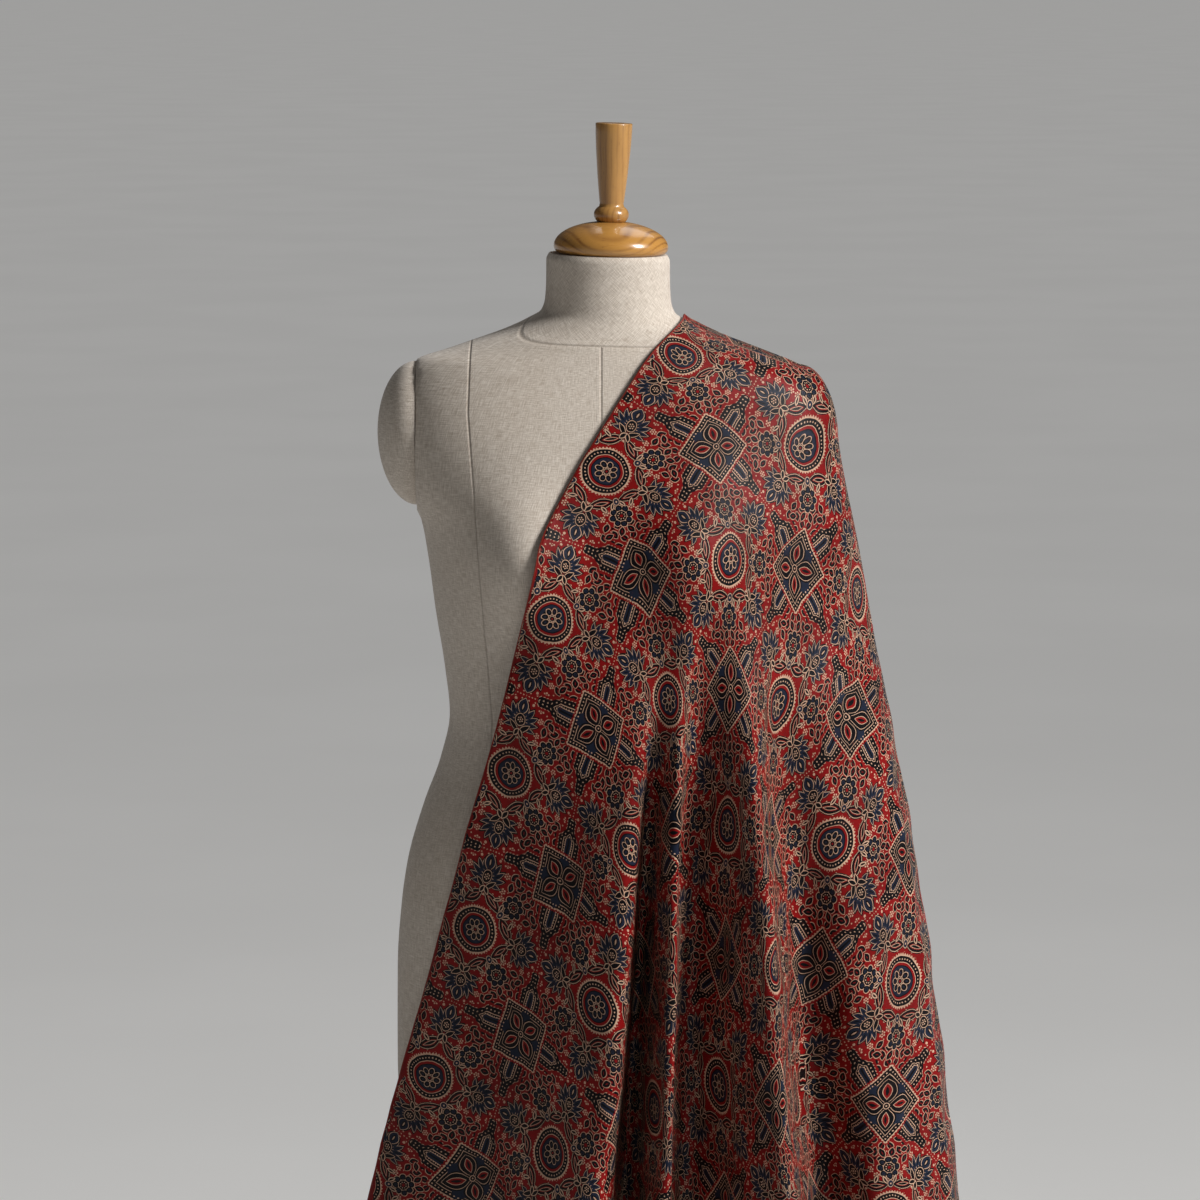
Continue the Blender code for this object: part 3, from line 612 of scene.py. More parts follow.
class Nodes:
    """Short ways to add and join the nodes of one material."""

    def __init__(self, name):
        self.mat = bpy.data.materials.new(name)
        self.mat.use_nodes = True
        self.tree = self.mat.node_tree

    def fill(self, node, inputs):
        """Joins sockets to a node's inputs or sets their values, by name or number."""
        for key, value in dict(inputs).items():
            if isinstance(value, bpy.types.NodeSocket):
                self.tree.links.new(value, node.inputs[key])
            else:
                node.inputs[key].default_value = value

    def add(self, kind, inputs=(), **settings):
        node = self.tree.nodes.new(kind)
        for key, value in settings.items():
            setattr(node, key, value)
        self.fill(node, inputs)
        return node

    def math(self, operation, *values):
        return self.add("ShaderNodeMath", enumerate(values), operation=operation).outputs[0]

    def vector(self, operation, *values):
        node = self.add("ShaderNodeVectorMath", enumerate(values), operation=operation)
        return node.outputs["Value" if operation == "LENGTH" else "Vector"]

    plus = partialmethod(math, "ADD")
    minus = partialmethod(math, "SUBTRACT")
    times = partialmethod(math, "MULTIPLY")
    least = partialmethod(math, "MINIMUM")
    size = partialmethod(math, "ABSOLUTE")
    turns = partialmethod(math, "ROUND")
    angle = partialmethod(math, "ARCTAN2")
    below = partialmethod(math, "LESS_THAN")
    above = partialmethod(math, "GREATER_THAN")
    length = partialmethod(vector, "LENGTH")
    scaled = partialmethod(vector, "MULTIPLY")

    def parts(self, vector):
        return self.add("ShaderNodeSeparateXYZ", {0: vector}).outputs

    def join(self, x, y, z=0.0):
        return self.add("ShaderNodeCombineXYZ", enumerate((x, y, z))).outputs[0]

    def object_place(self):
        return self.add("ShaderNodeTexCoord").outputs["Object"]

    def moved(self, vector, place, turn=0.0, size=(1.0, 1.0)):
        """The vector seen from a place, turned (degrees) and measured in a size."""
        turned = (0.0, 0.0, math.radians(turn))
        inputs = {"Vector": vector, "Location": (*place, 0.0), "Rotation": turned, "Scale": (*size, 1.0)}
        return self.add("ShaderNodeMapping", inputs, vector_type="TEXTURE").outputs[0]

    def noises(self, vector, scale, detail=2.0, rough=0.5, dims="3D"):
        inputs = {"Vector": vector, "Scale": scale, "Detail": detail, "Roughness": rough}
        return self.add("ShaderNodeTexNoise", inputs, noise_dimensions=dims).outputs

    def noise(self, *given):
        return self.noises(*given)["Fac"]

    def threads(self, vector, scales, *given):
        """Noise of another fineness along each axis."""
        return self.noise(self.scaled(vector, scales), 1.0, *given)

    def shaken(self, vector, reach, *given):
        """The vector with a noise round zero added, as large along each axis as the reach."""
        shift = self.vector("SUBTRACT", self.noises(vector, *given)["Color"], (0.5, 0.5, 0.5))
        return self.vector("ADD", vector, self.scaled(shift, reach))

    def remap(self, value, low, high, to_low=0.0, to_high=1.0, kind="SMOOTHSTEP"):
        inputs = enumerate((value, low, high, to_low, to_high))
        return self.add("ShaderNodeMapRange", inputs, interpolation_type=kind).outputs[0]

    def mix(self, share, a, b):
        """A number between a and b."""
        return self.add("ShaderNodeMix", {0: share, 2: a, 3: b}, data_type="FLOAT").outputs[0]

    def blend(self, share, a, b, kind="MIX"):
        """A colour between a and b."""
        return self.add("ShaderNodeMix", {0: share, 6: a, 7: b}, data_type="RGBA", blend_type=kind).outputs[2]

    def stain(self, colour, value, low, high, most, stain, kind="MIX"):
        """The colour, stained as the value goes from low to high, up to the share most."""
        return self.blend(self.remap(value, low, high, 0.0, most), colour, stain, kind)

    def ramp(self, value, stops):
        """The colour of the last stop that the value has reached."""
        node = self.add("ShaderNodeValToRGB", {0: value})
        node.color_ramp.interpolation = "CONSTANT"
        elements = node.color_ramp.elements
        while len(elements) < len(stops):
            elements.new(1.0)
        for element, (place, _) in zip(elements, stops):
            element.position = place
        for element, (_, colour) in zip(elements, stops):
            element.color = colour
        return node.outputs[0]

    def curve(self, value, stops):
        """A broken line through the stops."""
        node = self.add("ShaderNodeFloatCurve", {"Value": value})
        points = node.mapping.curves[0].points
        while len(points) < len(stops):
            points.new(0.5, 0.5)
        for point, place in zip(points, stops):
            point.location = place
            point.handle_type = "VECTOR"
        node.mapping.update()
        return node.outputs[0]

    def bump(self, height, distance, strength, under=None):
        inputs = {"Strength": strength, "Distance": distance, "Height": height}
        if under is not None:
            inputs["Normal"] = under
        return self.add("ShaderNodeBump", inputs).outputs[0]

    def finish(self, **looks):
        """Sets the shader's sockets, with _ for the spaces in their names, and gives the material."""
        shader = self.tree.nodes["Principled BSDF"]
        self.fill(shader, {key.replace("_", " "): value for key, value in looks.items()})
        return self.mat


def srgb(*screen):
    """A colour given as it shows on a screen, 0 to 255, as linear values."""
    return tuple((c / 255 / 12.92) if c <= 10 else ((c / 255 + 0.055) / 1.055) ** 2.4 for c in screen) + (1.0,)


# The print's four colours, and where each lies on the scale that paints them.
RED, BLACK, INDIGO, CREAM = 0.0, 1.0 / 3.0, 2.0 / 3.0, 1.0
DYES = (
    (0.0, srgb(133, 12, 13)),
    (1 / 6, srgb(4, 5, 8)),
    (1 / 2, srgb(25, 35, 53)),
    (5 / 6, srgb(206, 168, 142)),
)


class Print(Nodes):
    """The block print: shapes painted over each other on one repeat, folded into its eighth."""

    def begin(self, spot):
        """Folds the places on the cloth, given in repeats, and dyes all of it red."""
        half = (0.5, 0.5, 0.5)
        whole = self.vector("FRACTION", self.vector("ADD", spot, half))
        x, y, _ = self.parts(self.vector("ABSOLUTE", self.vector("SUBTRACT", whole, half)))
        self.x = self.math("MAXIMUM", x, y)
        self.y = self.least(x, y)
        self.spot = self.join(self.x, self.y)
        self.now = RED

    def paint(self, measure, *rings):
        """rings are (outer edge in the measure, dye) from the outermost in; the measure falls to the middle."""
        rings = [list(ring) for ring in rings]
        for ring, within in zip(rings, rings[1:]):
            if ring[1] == CREAM:
                within[0] += LINE_THINNING * (ring[0] - within[0])
        outer, dye = rings[0]
        mask = self.below(measure, outer)
        if len(rings) > 1:
            # The ramp goes from the middle out.
            edges = [0.0] + [edge / outer for edge, _ in rings[:0:-1]]
            stops = [(edge, (dye, dye, dye, 1.0)) for edge, (_, dye) in zip(edges, rings[::-1])]
            dye = self.ramp(self.times(measure, 1.0 / outer), stops)
        self.paint_where(mask, dye)

    def paint_where(self, mask, dye):
        self.now = self.mix(mask, self.now, dye)

    def paint_above(self, *steps):
        """steps are (measure, the value that it is painted above, dye)."""
        for measure, edge, dye in steps:
            self.paint_where(self.above(measure, edge), dye)

    def oval(self, *given):
        return self.length(self.moved(self.spot, *given))

    def pointed(self, x, y):
        """A measure that grows out from the middle of a shape with two pointed ends."""
        return self.plus(self.times(x, x), self.size(y))

    def leaf(self, *given):
        x, y, _ = self.parts(self.moved(self.spot, *given))
        return self.pointed(x, y)

    def ringed(self, place, count, ring, turn=0.0):
        """Distance to the nearest of a count of spots on a ring round a place, and to the place itself."""
        x, y, _ = self.parts(self.moved(self.spot, place, turn))
        radius = self.length(self.join(x, y))
        angle = self.times(self.angle(y, x), count / (2 * math.pi))
        near = self.times(self.minus(angle, self.turns(angle)), 2 * math.pi / count)
        side = self.times(radius, self.math("SINE", near))
        out = self.minus(self.times(radius, self.math("COSINE", near)), ring)
        return self.length(self.join(side, out)), radius

    def teeth(self, along, size, depth):
        return self.times(self.math("PINGPONG", along, size), depth)

    def beads(self, along, pitch, across, row):
        """Paints beads at a pitch along one measure, where another has the value row."""
        step = self.minus(self.math("FRACT", self.times(along, 1 / pitch)), 0.5)
        self.paint(self.length(self.join(self.times(step, pitch), self.minus(across, row))), (BEAD, CREAM))


def paint_field(p):
    """The open ground between the large figures: specks, six-dot flowers, stems, buds and a round flower."""
    cell = p.vector("FRACTION", p.scaled(p.spot, (1 / SPECK_PITCH, 1 / SPECK_PITCH, 0.0)))
    p.paint(p.length(p.vector("SUBTRACT", cell, (0.5, 0.5, 0.0))), (0.105, CREAM))
    flowers = ((0.385, 0.130), (0.243, 0.126), (0.452, 0.118), (0.290, 0.125), (0.372, 0.350), (0.268, 0.268))
    for place in flowers:
        spots, centre = p.ringed(place, 6, 0.0150)
        p.paint(centre, (0.0270, RED))
        p.paint(p.least(spots, centre), (0.0054, CREAM))
    for place in ((0.5, 0.0), (0.5, 0.036), (0.5, 0.070), (0.462, 0.062), (0.165, 0.165), (0.232, 0.008)):
        p.paint(p.oval(place, 0, (0.0085, 0.0085)), (1.7, RED), (1.0, CREAM))
    p.paint(p.leaf((0.322, 0.203), 100, (0.044, 0.008)), (1.0, BLACK))
    p.paint(p.leaf((0.392, 0.236), 84, (0.052, 0.007)), (1.0, BLACK))
    for x, y, turn in (
        (0.331, 0.168, 5), (0.346, 0.236, 62), (0.289, 0.232, 128), (0.340, 0.300, 75),
        (0.396, 0.178, 40), (0.402, 0.285, 118), (0.375, 0.208, 140), (0.310, 0.268, 20),
    ):
        p.paint(p.leaf((x, y), turn, (0.034, 0.022)), (1.3, RED), (1.0, CREAM), (0.74, BLACK), (0.12, RED))
    spots, centre = p.ringed((0.218, 0.218), 8, 0.053)
    p.paint(spots, (0.0245, CREAM), (0.0190, BLACK), (0.0110, INDIGO), (0.0040, BLACK))
    p.paint(centre, (0.036, CREAM), (0.0320, BLACK), (0.0105, RED))
    p.paint(p.ringed((0.218, 0.218), 8, 0.0205, 22.5)[0], (0.0036, CREAM))


def paint_palmettes(p):
    """A palmette between two medallions: pod, curved petals and a tip leaf."""
    x, y, _ = p.parts(p.moved(p.spot, (0.345, 0.0)))
    radius = p.length(p.join(x, y))
    angle = p.minus(p.plus(p.angle(y, x), p.times(radius, 4.2)), PETAL_TURN)
    which = p.turns(p.times(angle, 1 / PETAL_PITCH))
    near = p.minus(angle, p.times(which, PETAL_PITCH))
    out = p.times(p.minus(radius, 0.073), 1 / 0.048)
    petal = p.pointed(out, p.times(p.times(near, radius), 1 / 0.0185))
    # Only five petals are painted: the measure is raised past its outer edge for the others.
    kept = p.times(p.above(which, 0.5), p.below(which, 5.5))
    petal = p.plus(petal, p.times(p.minus(1.0, kept), 9.0))
    p.paint(petal, (1.45, BLACK), (1.0, CREAM), (0.74, INDIGO), (0.20, BLACK))
    tip = p.leaf((0.431, 0.0), 0, (0.055, 0.037))
    p.paint(tip, (1.15, BLACK), (1.0, CREAM), (0.82, INDIGO), (0.34, BLACK), (0.12, CREAM))
    p.paint(p.oval((0.345, 0.0), 0, (0.042, 0.033)), (1.15, BLACK), (1.0, CREAM), (0.85, BLACK))
    p.paint(p.least(*p.ringed((0.345, 0.0), 6, 0.0150)), (0.0046, CREAM))


def paint_paisleys(p):
    """Paisleys, leaves and buds round each medallion."""
    leaf = p.leaf((0.203, 0.070), 129, (0.084, 0.034))
    p.paint(leaf, (1.15, BLACK), (1.0, CREAM), (0.84, BLACK), (0.46, RED), (0.32, CREAM), (0.20, BLACK))
    for place, turn in (((0.186, 0.140), 20), ((0.228, 0.104), 68)):
        p.paint(p.leaf(place, turn, (0.030, 0.0125)), (1.35, BLACK), (1.0, CREAM), (0.25, BLACK))
    bud = p.oval((0.146, 0.146), 45, (0.026, 0.021))
    p.paint(bud, (1.15, BLACK), (1.0, CREAM), (0.76, INDIGO), (0.24, CREAM))
    p.paint(p.leaf((0.297, 0.036), 48, (0.048, 0.017)), (1.3, BLACK), (1.0, CREAM), (0.66, BLACK))
    p.paint(p.leaf((0.262, 0.016), 150, (0.032, 0.017)), (1.3, BLACK), (1.0, CREAM), (0.50, BLACK))


def paint_arms(p, a, b):
    """The four stepped arms of the square, each with a toothed cell in it."""
    steps = (
        (0.0, 0.080), (0.275, 0.080), (0.286, 0.074), (0.292, 0.058), (0.320, 0.050), (0.332, 0.036),
        (0.350, 0.032), (0.405, 0.031), (0.418, 0.020), (0.423, 0.0), (1.0, 0.0),
    )
    inside = p.minus(p.curve(b, steps), a)
    toothed = p.minus(inside, p.teeth(p.plus(a, b), 0.0105, 0.9))
    p.paint_above((inside, -0.0180, RED), (toothed, -0.0050, CREAM), (inside, 0.0015, BLACK))
    p.beads(b, 0.0265, inside, 0.0215)
    # The cell's end is a point, so it closes as the arm narrows.
    cell = p.least(p.minus(inside, 0.0385), p.minus(p.minus(0.318, b), a))
    comb = p.plus(cell, p.teeth(b, 0.0080, 1.1))
    p.paint_above((cell, 0.0, CREAM), (cell, 0.0050, BLACK), (comb, 0.0200, CREAM))
    p.paint_above((cell, 0.0215, INDIGO), (cell, 0.0360, BLACK))


def paint_square(p, a, b):
    """The square between four medallions, framed and filled with a cross of petals."""
    p.paint(p.minus(b, p.teeth(a, 0.0105, 0.8)), (0.1780, RED), (0.1660, CREAM))
    p.paint(b, (0.1620, BLACK), (0.1330, CREAM), (0.1280, BLACK), (0.1160, CREAM), (0.1115, INDIGO))
    p.paint_where(p.below(b, 0.1115), BLACK)
    p.paint_where(p.below(p.plus(a, b), 0.168), INDIGO)
    p.beads(a, 0.0225, b, 0.1475)
    corner = p.join(p.plus(a, b), p.minus(b, a))
    x, y, _ = p.parts(p.moved(corner, (0.121, 0.0), 0, (0.103, 0.078)))
    petal = p.pointed(x, y)
    p.paint(petal, (1.18, BLACK), (1.0, CREAM), (0.90, BLACK), (0.46, CREAM), (0.36, RED), (0.16, BLACK))
    p.paint(p.length(p.join(a, b)), (0.026, BLACK), (0.021, CREAM), (0.0145, BLACK), (0.0050, CREAM))


def paint_medallion(p):
    """The round medallion: toothed rim, beads, indigo ground and a daisy."""
    radius = p.length(p.spot)
    angle = p.angle(p.y, p.x)
    p.paint(p.minus(radius, p.teeth(angle, 2 * math.pi / 96, 0.20)), (0.1620, RED), (0.1470, CREAM))
    p.paint(radius, (0.1420, BLACK), (0.1080, CREAM), (0.1025, RED))
    p.paint(p.ringed((0.0, 0.0), 36, 0.1250)[0], (BEAD, CREAM))
    p.paint(p.oval((-0.005, -0.004), 0, (0.0965, 0.0965)), (1.0, BLACK), (0.93, INDIGO), (0.74, BLACK))
    eighth = 2 * math.pi / 8
    turned = p.minus(angle, p.times(p.turns(p.times(angle, 1 / eighth)), eighth))
    side = p.times(radius, p.math("SINE", turned))
    out = p.times(radius, p.math("COSINE", turned))
    oval = p.length(p.moved(p.join(out, side), (0.046, 0.0), 0, (0.0245, 0.0185)))
    p.paint(oval, (1.0, CREAM), (0.76, BLACK), (0.30, INDIGO))
    p.paint(radius, (0.0190, CREAM), (0.0140, BLACK), (0.0060, RED))


def silk_material():
    p = Print("ajrakh_silk")
    uv = p.add("ShaderNodeUVMap", uv_map="flat").outputs[0]
    u, v, _ = p.parts(uv)
    over = p.minus(p.times(u, 1 / REPEAT), SELVEDGE_TO_MEDALLION)
    down = p.minus(p.times(v, -1 / REPEAT), TOP_TO_MEDALLION)
    p.begin(p.shaken(p.join(over, down), (0.016, 0.016, 0.0), 9.0, 3.0, 0.5, "2D"))
    a = p.minus(0.5, p.x)
    b = p.minus(0.5, p.y)
    paint_field(p)
    paint_arms(p, a, b)
    paint_palmettes(p)
    paint_paisleys(p)
    paint_square(p, a, b)
    paint_medallion(p)
    # The narrow strip along the sheet's edges that the blocks leave plain.
    edge = p.add("ShaderNodeAttribute", attribute_name="rim_gap").outputs["Fac"]
    ragged = p.remap(p.noise(uv, 11.0, 3.0, 0.7, "2D"), 0.46, 0.68, 0.0010, 0.0060)
    p.paint_where(p.below(edge, ragged), RED)
    colour = p.ramp(p.now, DYES)
    # Uneven dye, small missed specks, the weave and a worn edge.
    cloudy = p.noise(uv, 22.0, 4.0, 0.6, "2D")
    colour = p.stain(colour, cloudy, 0.35, 0.75, 0.32, srgb(70, 20, 24), "MULTIPLY")
    colour = p.stain(colour, p.noise(uv, 160.0, 3.0, 0.6, "2D"), 0.62, 0.82, 0.14, srgb(140, 44, 38))
    warp = p.threads(uv, (3600.0, 160.0, 1.0), 2.0, 0.5, "2D")
    weft = p.threads(uv, (120.0, 3200.0, 1.0), 2.0, 0.5, "2D")
    weave = p.plus(warp, weft)
    colour = p.stain(colour, weave, 0.75, 1.35, 0.30, (0.02, 0.012, 0.012, 1.0))
    colour = p.stain(colour, edge, 0.0020, 0.0003, 0.30, srgb(190, 96, 80))
    normal = p.bump(p.noise(uv, 34.0, 4.0, 0.55, "2D"), 0.0016, 0.35, p.bump(weave, 0.00018, 0.55))
    rough = p.remap(cloudy, 0.3, 0.7, 0.34, 0.46)
    shine = {"Roughness": rough, "Specular_IOR_Level": 0.11, "Anisotropic": 0.25}
    return p.finish(Base_Color=colour, Normal=normal, **shine)


def linen_material(name, seams):
    """Slubby undyed linen, with the covering's seams pressed in where asked."""
    n = Nodes(name)
    spot = n.object_place()
    x, y, z = n.parts(spot)
    neck_seam = n.plus(n.minus(z, n.remap(y, -0.060, 0.010, 1.5070, 1.5290)), n.times(x, LEAN))
    if seams:
        # The threads go round the torso and up; the neck's piece is cut on the bias, so there they run aslant.
        angle = n.angle(x, n.times(y, -1.0))
        around = n.times(angle, 0.054)
        aslant = n.times(n.plus(around, z), math.sqrt(0.5))
        across = n.times(n.minus(around, z), math.sqrt(0.5))
        on_neck = n.above(neck_seam, 0.0)
        spot = n.join(n.mix(on_neck, n.times(angle, 0.13), aslant), 0.0, n.mix(on_neck, z, across))
    warp = n.threads(spot, (1500.0, 1500.0, 110.0), 2.0, 0.55)
    weft = n.threads(spot, (130.0, 130.0, 1500.0), 2.0, 0.55)
    weave = n.plus(warp, weft)
    slub_across = n.threads(spot, (46.0, 46.0, 1150.0), 2.0, 0.6)
    slub_down = n.threads(spot, (1150.0, 1150.0, 30.0), 2.0, 0.6)
    fleck = n.threads(spot, (260.0, 260.0, 420.0), 1.0, 0.5)
    colour = n.blend(n.remap(weave, 0.70, 1.30), srgb(178, 165, 151), srgb(217, 207, 195))
    for stain in (
        (slub_across, 0.62, 0.76, 0.30, srgb(236, 230, 222)),
        (slub_down, 0.62, 0.76, 0.35, srgb(232, 226, 218)),
        (fleck, 0.70, 0.80, 0.35, srgb(138, 112, 88)),
        (slub_down, 0.38, 0.24, 0.30, srgb(150, 134, 120)),
        (n.noise(spot, 7.0, 3.0), 0.45, 0.75, 0.20, srgb(176, 158, 138)),
    ):
        colour = n.stain(colour, *stain)
    height = n.plus(weave, n.times(n.plus(slub_across, slub_down), 0.5))
    normal = n.bump(height, 0.00030, 0.65)
    if seams:
        level = n.remap(z, 1.00, 1.52, 0.0, 1.0, "LINEAR")
        places = ((0.0, 0.430), (0.35, 0.400), (0.60, 0.440), (0.70, 0.454), (0.865, 0.482), (0.97, 0.476))
        side = n.minus(n.size(x), n.times(n.curve(level, places), 0.25))
        lines = n.least(n.size(side), n.size(n.plus(x, 0.006)))
        # The upright seams end at the neck's seam.
        lines = n.plus(lines, n.times(n.minus(1.0, n.below(neck_seam, 0.0)), 1.0))
        near = n.least(lines, n.size(neck_seam))
        stitch = n.below(n.size(n.minus(near, 0.0045)), 0.0005)
        normal = n.bump(n.minus(n.remap(near, 0.0, 0.0016), n.times(stitch, 0.25)), 0.0007, 0.8, normal)
        colour = n.blend(n.remap(near, 0.0, 0.0010, 0.45, 0.0), colour, srgb(120, 106, 92))
    rough = n.remap(weave, 0.7, 1.3, 0.92, 0.80)
    sheen = {"Specular_IOR_Level": 0.25, "Sheen_Weight": 0.15, "Sheen_Roughness": 0.5}
    return n.finish(Base_Color=colour, Roughness=rough, Normal=normal, **sheen)


def wood_material(name, centre, light, dark, lying):
    """Polished wood: growth rings round an upright axis, or a lying one, with pores and a clear coat."""
    n = Nodes(name)
    spot = n.vector("SUBTRACT", n.object_place(), centre)
    x, y, z = n.parts(n.shaken(spot, (0.012, 0.012, 0.005), 12.0))
    if lying:
        ring = n.length(n.join(n.plus(y, 0.020), n.plus(z, 0.046)))
        grain = (150.0, 900.0, 900.0)
    else:
        ring = n.length(n.join(n.plus(x, 0.045), n.plus(y, n.times(z, 0.12))))
        grain = (900.0, 900.0, 130.0)
    share = n.remap(n.math("PINGPONG", ring, 0.0024), 0.0000, 0.0013)
    soft = n.remap(n.noise(spot, 30.0, 2.0), 0.35, 0.65, 0.35, 0.95)
    colour = n.blend(n.times(n.minus(1.0, share), soft), light, dark)
    pores = n.threads(spot, grain, 2.0, 0.5)
    colour = n.stain(colour, pores, 0.60, 0.76, 0.45, srgb(120, 74, 38))
    broad = n.threads(spot, tuple(g / 16 for g in grain), 3.0, 0.6)
    colour = n.stain(colour, broad, 0.4, 0.7, 0.35, srgb(198, 150, 84))
    rough = n.remap(broad, 0.3, 0.7, 0.26, 0.38)
    normal = n.bump(pores, 0.0001, 0.35)
    return n.finish(Base_Color=colour, Roughness=rough, Coat_Weight=0.5, Coat_Roughness=0.12, Normal=normal)


def steel_material():
    """Dark brushed steel of the pole."""
    n = Nodes("pole_steel")
    brushed = n.threads(n.object_place(), (260.0, 260.0, 9.0), 3.0, 0.6)
    colour = n.blend(n.remap(brushed, 0.35, 0.65), srgb(58, 56, 54), srgb(92, 89, 86))
    rough = n.remap(brushed, 0.3, 0.7, 0.28, 0.42)
    return n.finish(Base_Color=colour, Metallic=0.9, Roughness=rough, Normal=n.bump(brushed, 0.0001, 0.3))


def floor_material():
    n = Nodes("plain_floor")
    tone = n.remap(n.noise(n.object_place(), 1.1, 4.0), 0.3, 0.7)
    return n.finish(Base_Color=n.blend(tone, srgb(237, 236, 234), srgb(240, 239, 237)), Roughness=0.85)


def add_object(name, points, faces, mat, outward=True):
    mesh = bpy.data.meshes.new(name)
    mesh.from_pydata([tuple(float(v) for v in p) for p in points], [], faces)
    if outward:
        bm = bmesh.new()
        bm.from_mesh(mesh)
        bmesh.ops.recalc_face_normals(bm, faces=bm.faces)
        bm.to_mesh(mesh)
        bm.free()
    mesh.materials.append(mat)
    for poly in mesh.polygons:
        poly.use_smooth = True
    obj = bpy.data.objects.new(name, mesh)
    bpy.context.scene.collection.objects.link(obj)
    return obj


def lathe(name, profile, mat, steps=96):
    """A turned piece from (radius, height) points, top to bottom, closed at the axis."""
    points = []
    faces = []
    rings = []
    for radius, height in profile:
        if radius < 1e-6:
            rings.append([len(points)])
            points.append((0.0, 0.0, height))
        else:
            rings.append(list(range(len(points), len(points) + steps)))
            for k in range(steps):
                turn = 2 * math.pi * k / steps
                points.append((radius * math.cos(turn), radius * math.sin(turn), height))
    for upper, lower in zip(rings, rings[1:]):
        for k in range(steps):
            m = (k + 1) % steps
            if len(upper) == 1:
                faces.append((upper[0], lower[k], lower[m]))
            elif len(lower) == 1:
                faces.append((upper[k], lower[0], upper[m]))
            else:
                faces.append((upper[k], lower[k], lower[m], upper[m]))
    obj = add_object(name, points, faces, mat)
    obj.data.set_sharp_from_angle(angle=SHARP)
    return obj


def arc(centre, radius, start, end, count):
    """Points (across, up) on an arc, angles in degrees from straight up, clockwise."""
    return [
        (centre[0] + radius[0] * math.sin(math.radians(t)), centre[1] + radius[1] * math.cos(math.radians(t)))
        for t in np.linspace(start, end, count)
    ]


def settle(obj, matrix, lean=False):
    obj.data.transform(matrix)
    if lean:
        for vert in obj.data.vertices:
            vert.co.z -= float(lean_drop(vert.co.x, vert.co.z))
    obj.data.update()


def give(obj, slot, *nodes):
    """Ties a new piece to the body and hides the solids that it stands for; slot is not used."""
    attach(obj, "root")
    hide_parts(*nodes)


def build_torso(mat):
    # The rings are closer together over the shoulders and the neck.
    shoulder = 1.48
    heights = [np.linspace(FORM_BOTTOM, shoulder, 90), np.linspace(shoulder, NECK_TOP, 50)]
    heights = np.unique(np.concatenate(heights))
    steps = 160
    points = []
    for height in heights:
        width, front, back, square, centre = [float(v) for v in form_section(height)]
        for k in range(steps):
            turn = 2 * math.pi * (k + 0.5) / steps
            cosine, sine = math.cos(turn), math.sin(turn)
            x = width * math.copysign(abs(cosine) ** (2 / square), cosine)
            if height > WAIST_HEIGHT:
                x = max(-ARMHOLE_X, min(ARMHOLE_X, x))
            depth = front + float(bust(x, height)) if sine < 0 else back
            y = centre + depth * math.copysign(abs(sine) ** (2 / square), sine)
            points.append((x, y, height - float(lean_drop(x, height))))
    faces = []
    for i in range(len(heights) - 1):
        for k in range(steps):
            m = (k + 1) % steps
            faces.append((i * steps + k, i * steps + m, (i + 1) * steps + m, (i + 1) * steps + k))
    faces.append(tuple(reversed(range(steps))))
    faces.append(tuple(range((len(heights) - 1) * steps, len(heights) * steps)))
    obj = add_object("torso_linen", points, faces, mat)
    obj.data.set_sharp_from_angle(angle=SHARP)
    give(obj, "linen", "form_torso")


def build_stub(name, node, side, reach, mat):
    profile = arc((0.0, 0.0), (STUB_HALF_HEIGHT, reach), 0, 90, 26) + [(0.0, 0.0)]
    obj = lathe(name, profile, mat, 72)
    squeeze = Matrix.Diagonal((1.0, STUB_HALF_DEPTH / STUB_HALF_HEIGHT, 1.0, 1.0))
    tip = Matrix.Rotation(math.radians(90 * side), 4, "Y")
    settle(obj, Matrix.Translation((side * (ARMHOLE_X + PIECE_GAP), 0, STUB_HEIGHT)) @ tip @ squeeze, True)
    give(obj, "linen", node)


def build_cap(mat, finial_mat):
    seat = NECK_TOP + PIECE_GAP
    floor = seat + SOCKET_HEIGHT
    profile = [(0.0, floor), (0.0050, floor), (0.0080, floor + 0.0010), (0.0102, floor + 0.0024)]
    profile += [(0.0120, floor + 0.0040), (0.0128, floor + 0.0044)]
    profile += arc((0.0, seat + CAP_RIM), (CAP_RADIUS, CAP_DOME), 17, 90, 34)
    profile += arc((CAP_RADIUS - 0.0055, seat + CAP_RIM), (0.0055, 0.0060), 98, 170, 10)[:-1]
    profile += [(0.0455, seat), (0.0, seat)]
    cap = lathe("cap_turned", profile, mat)
    settle(cap, Matrix.Translation((*CAP_PLACE, 0)), True)
    give(cap, "wood", "neck_cap")
    profile = [(0.0, 0.0888)] + arc((0.0148, 0.0878), (0.0012, 0.0010), 0, 90, 6)
    profile += [(0.0158, 0.0800), (0.0152, 0.0690), (0.0143, 0.0580), (0.0134, 0.0470), (0.0124, 0.0370)]
    profile += [(0.0114, 0.0280), (0.0107, 0.0215), (0.0105, 0.0203), (0.0104, 0.0197)]
    profile += arc((0.0, 0.0100), (0.0152, 0.0100), 45, 165, 26) + [(0.0, 0.0)]
    finial = lathe("finial_turned", profile, finial_mat)
    tip = Matrix.Rotation(math.radians(1.7), 4, "Y")
    settle(finial, Matrix.Translation((*CAP_PLACE, floor + PIECE_GAP + 0.0002)) @ tip)
    give(finial, "wood", "neck_finial")


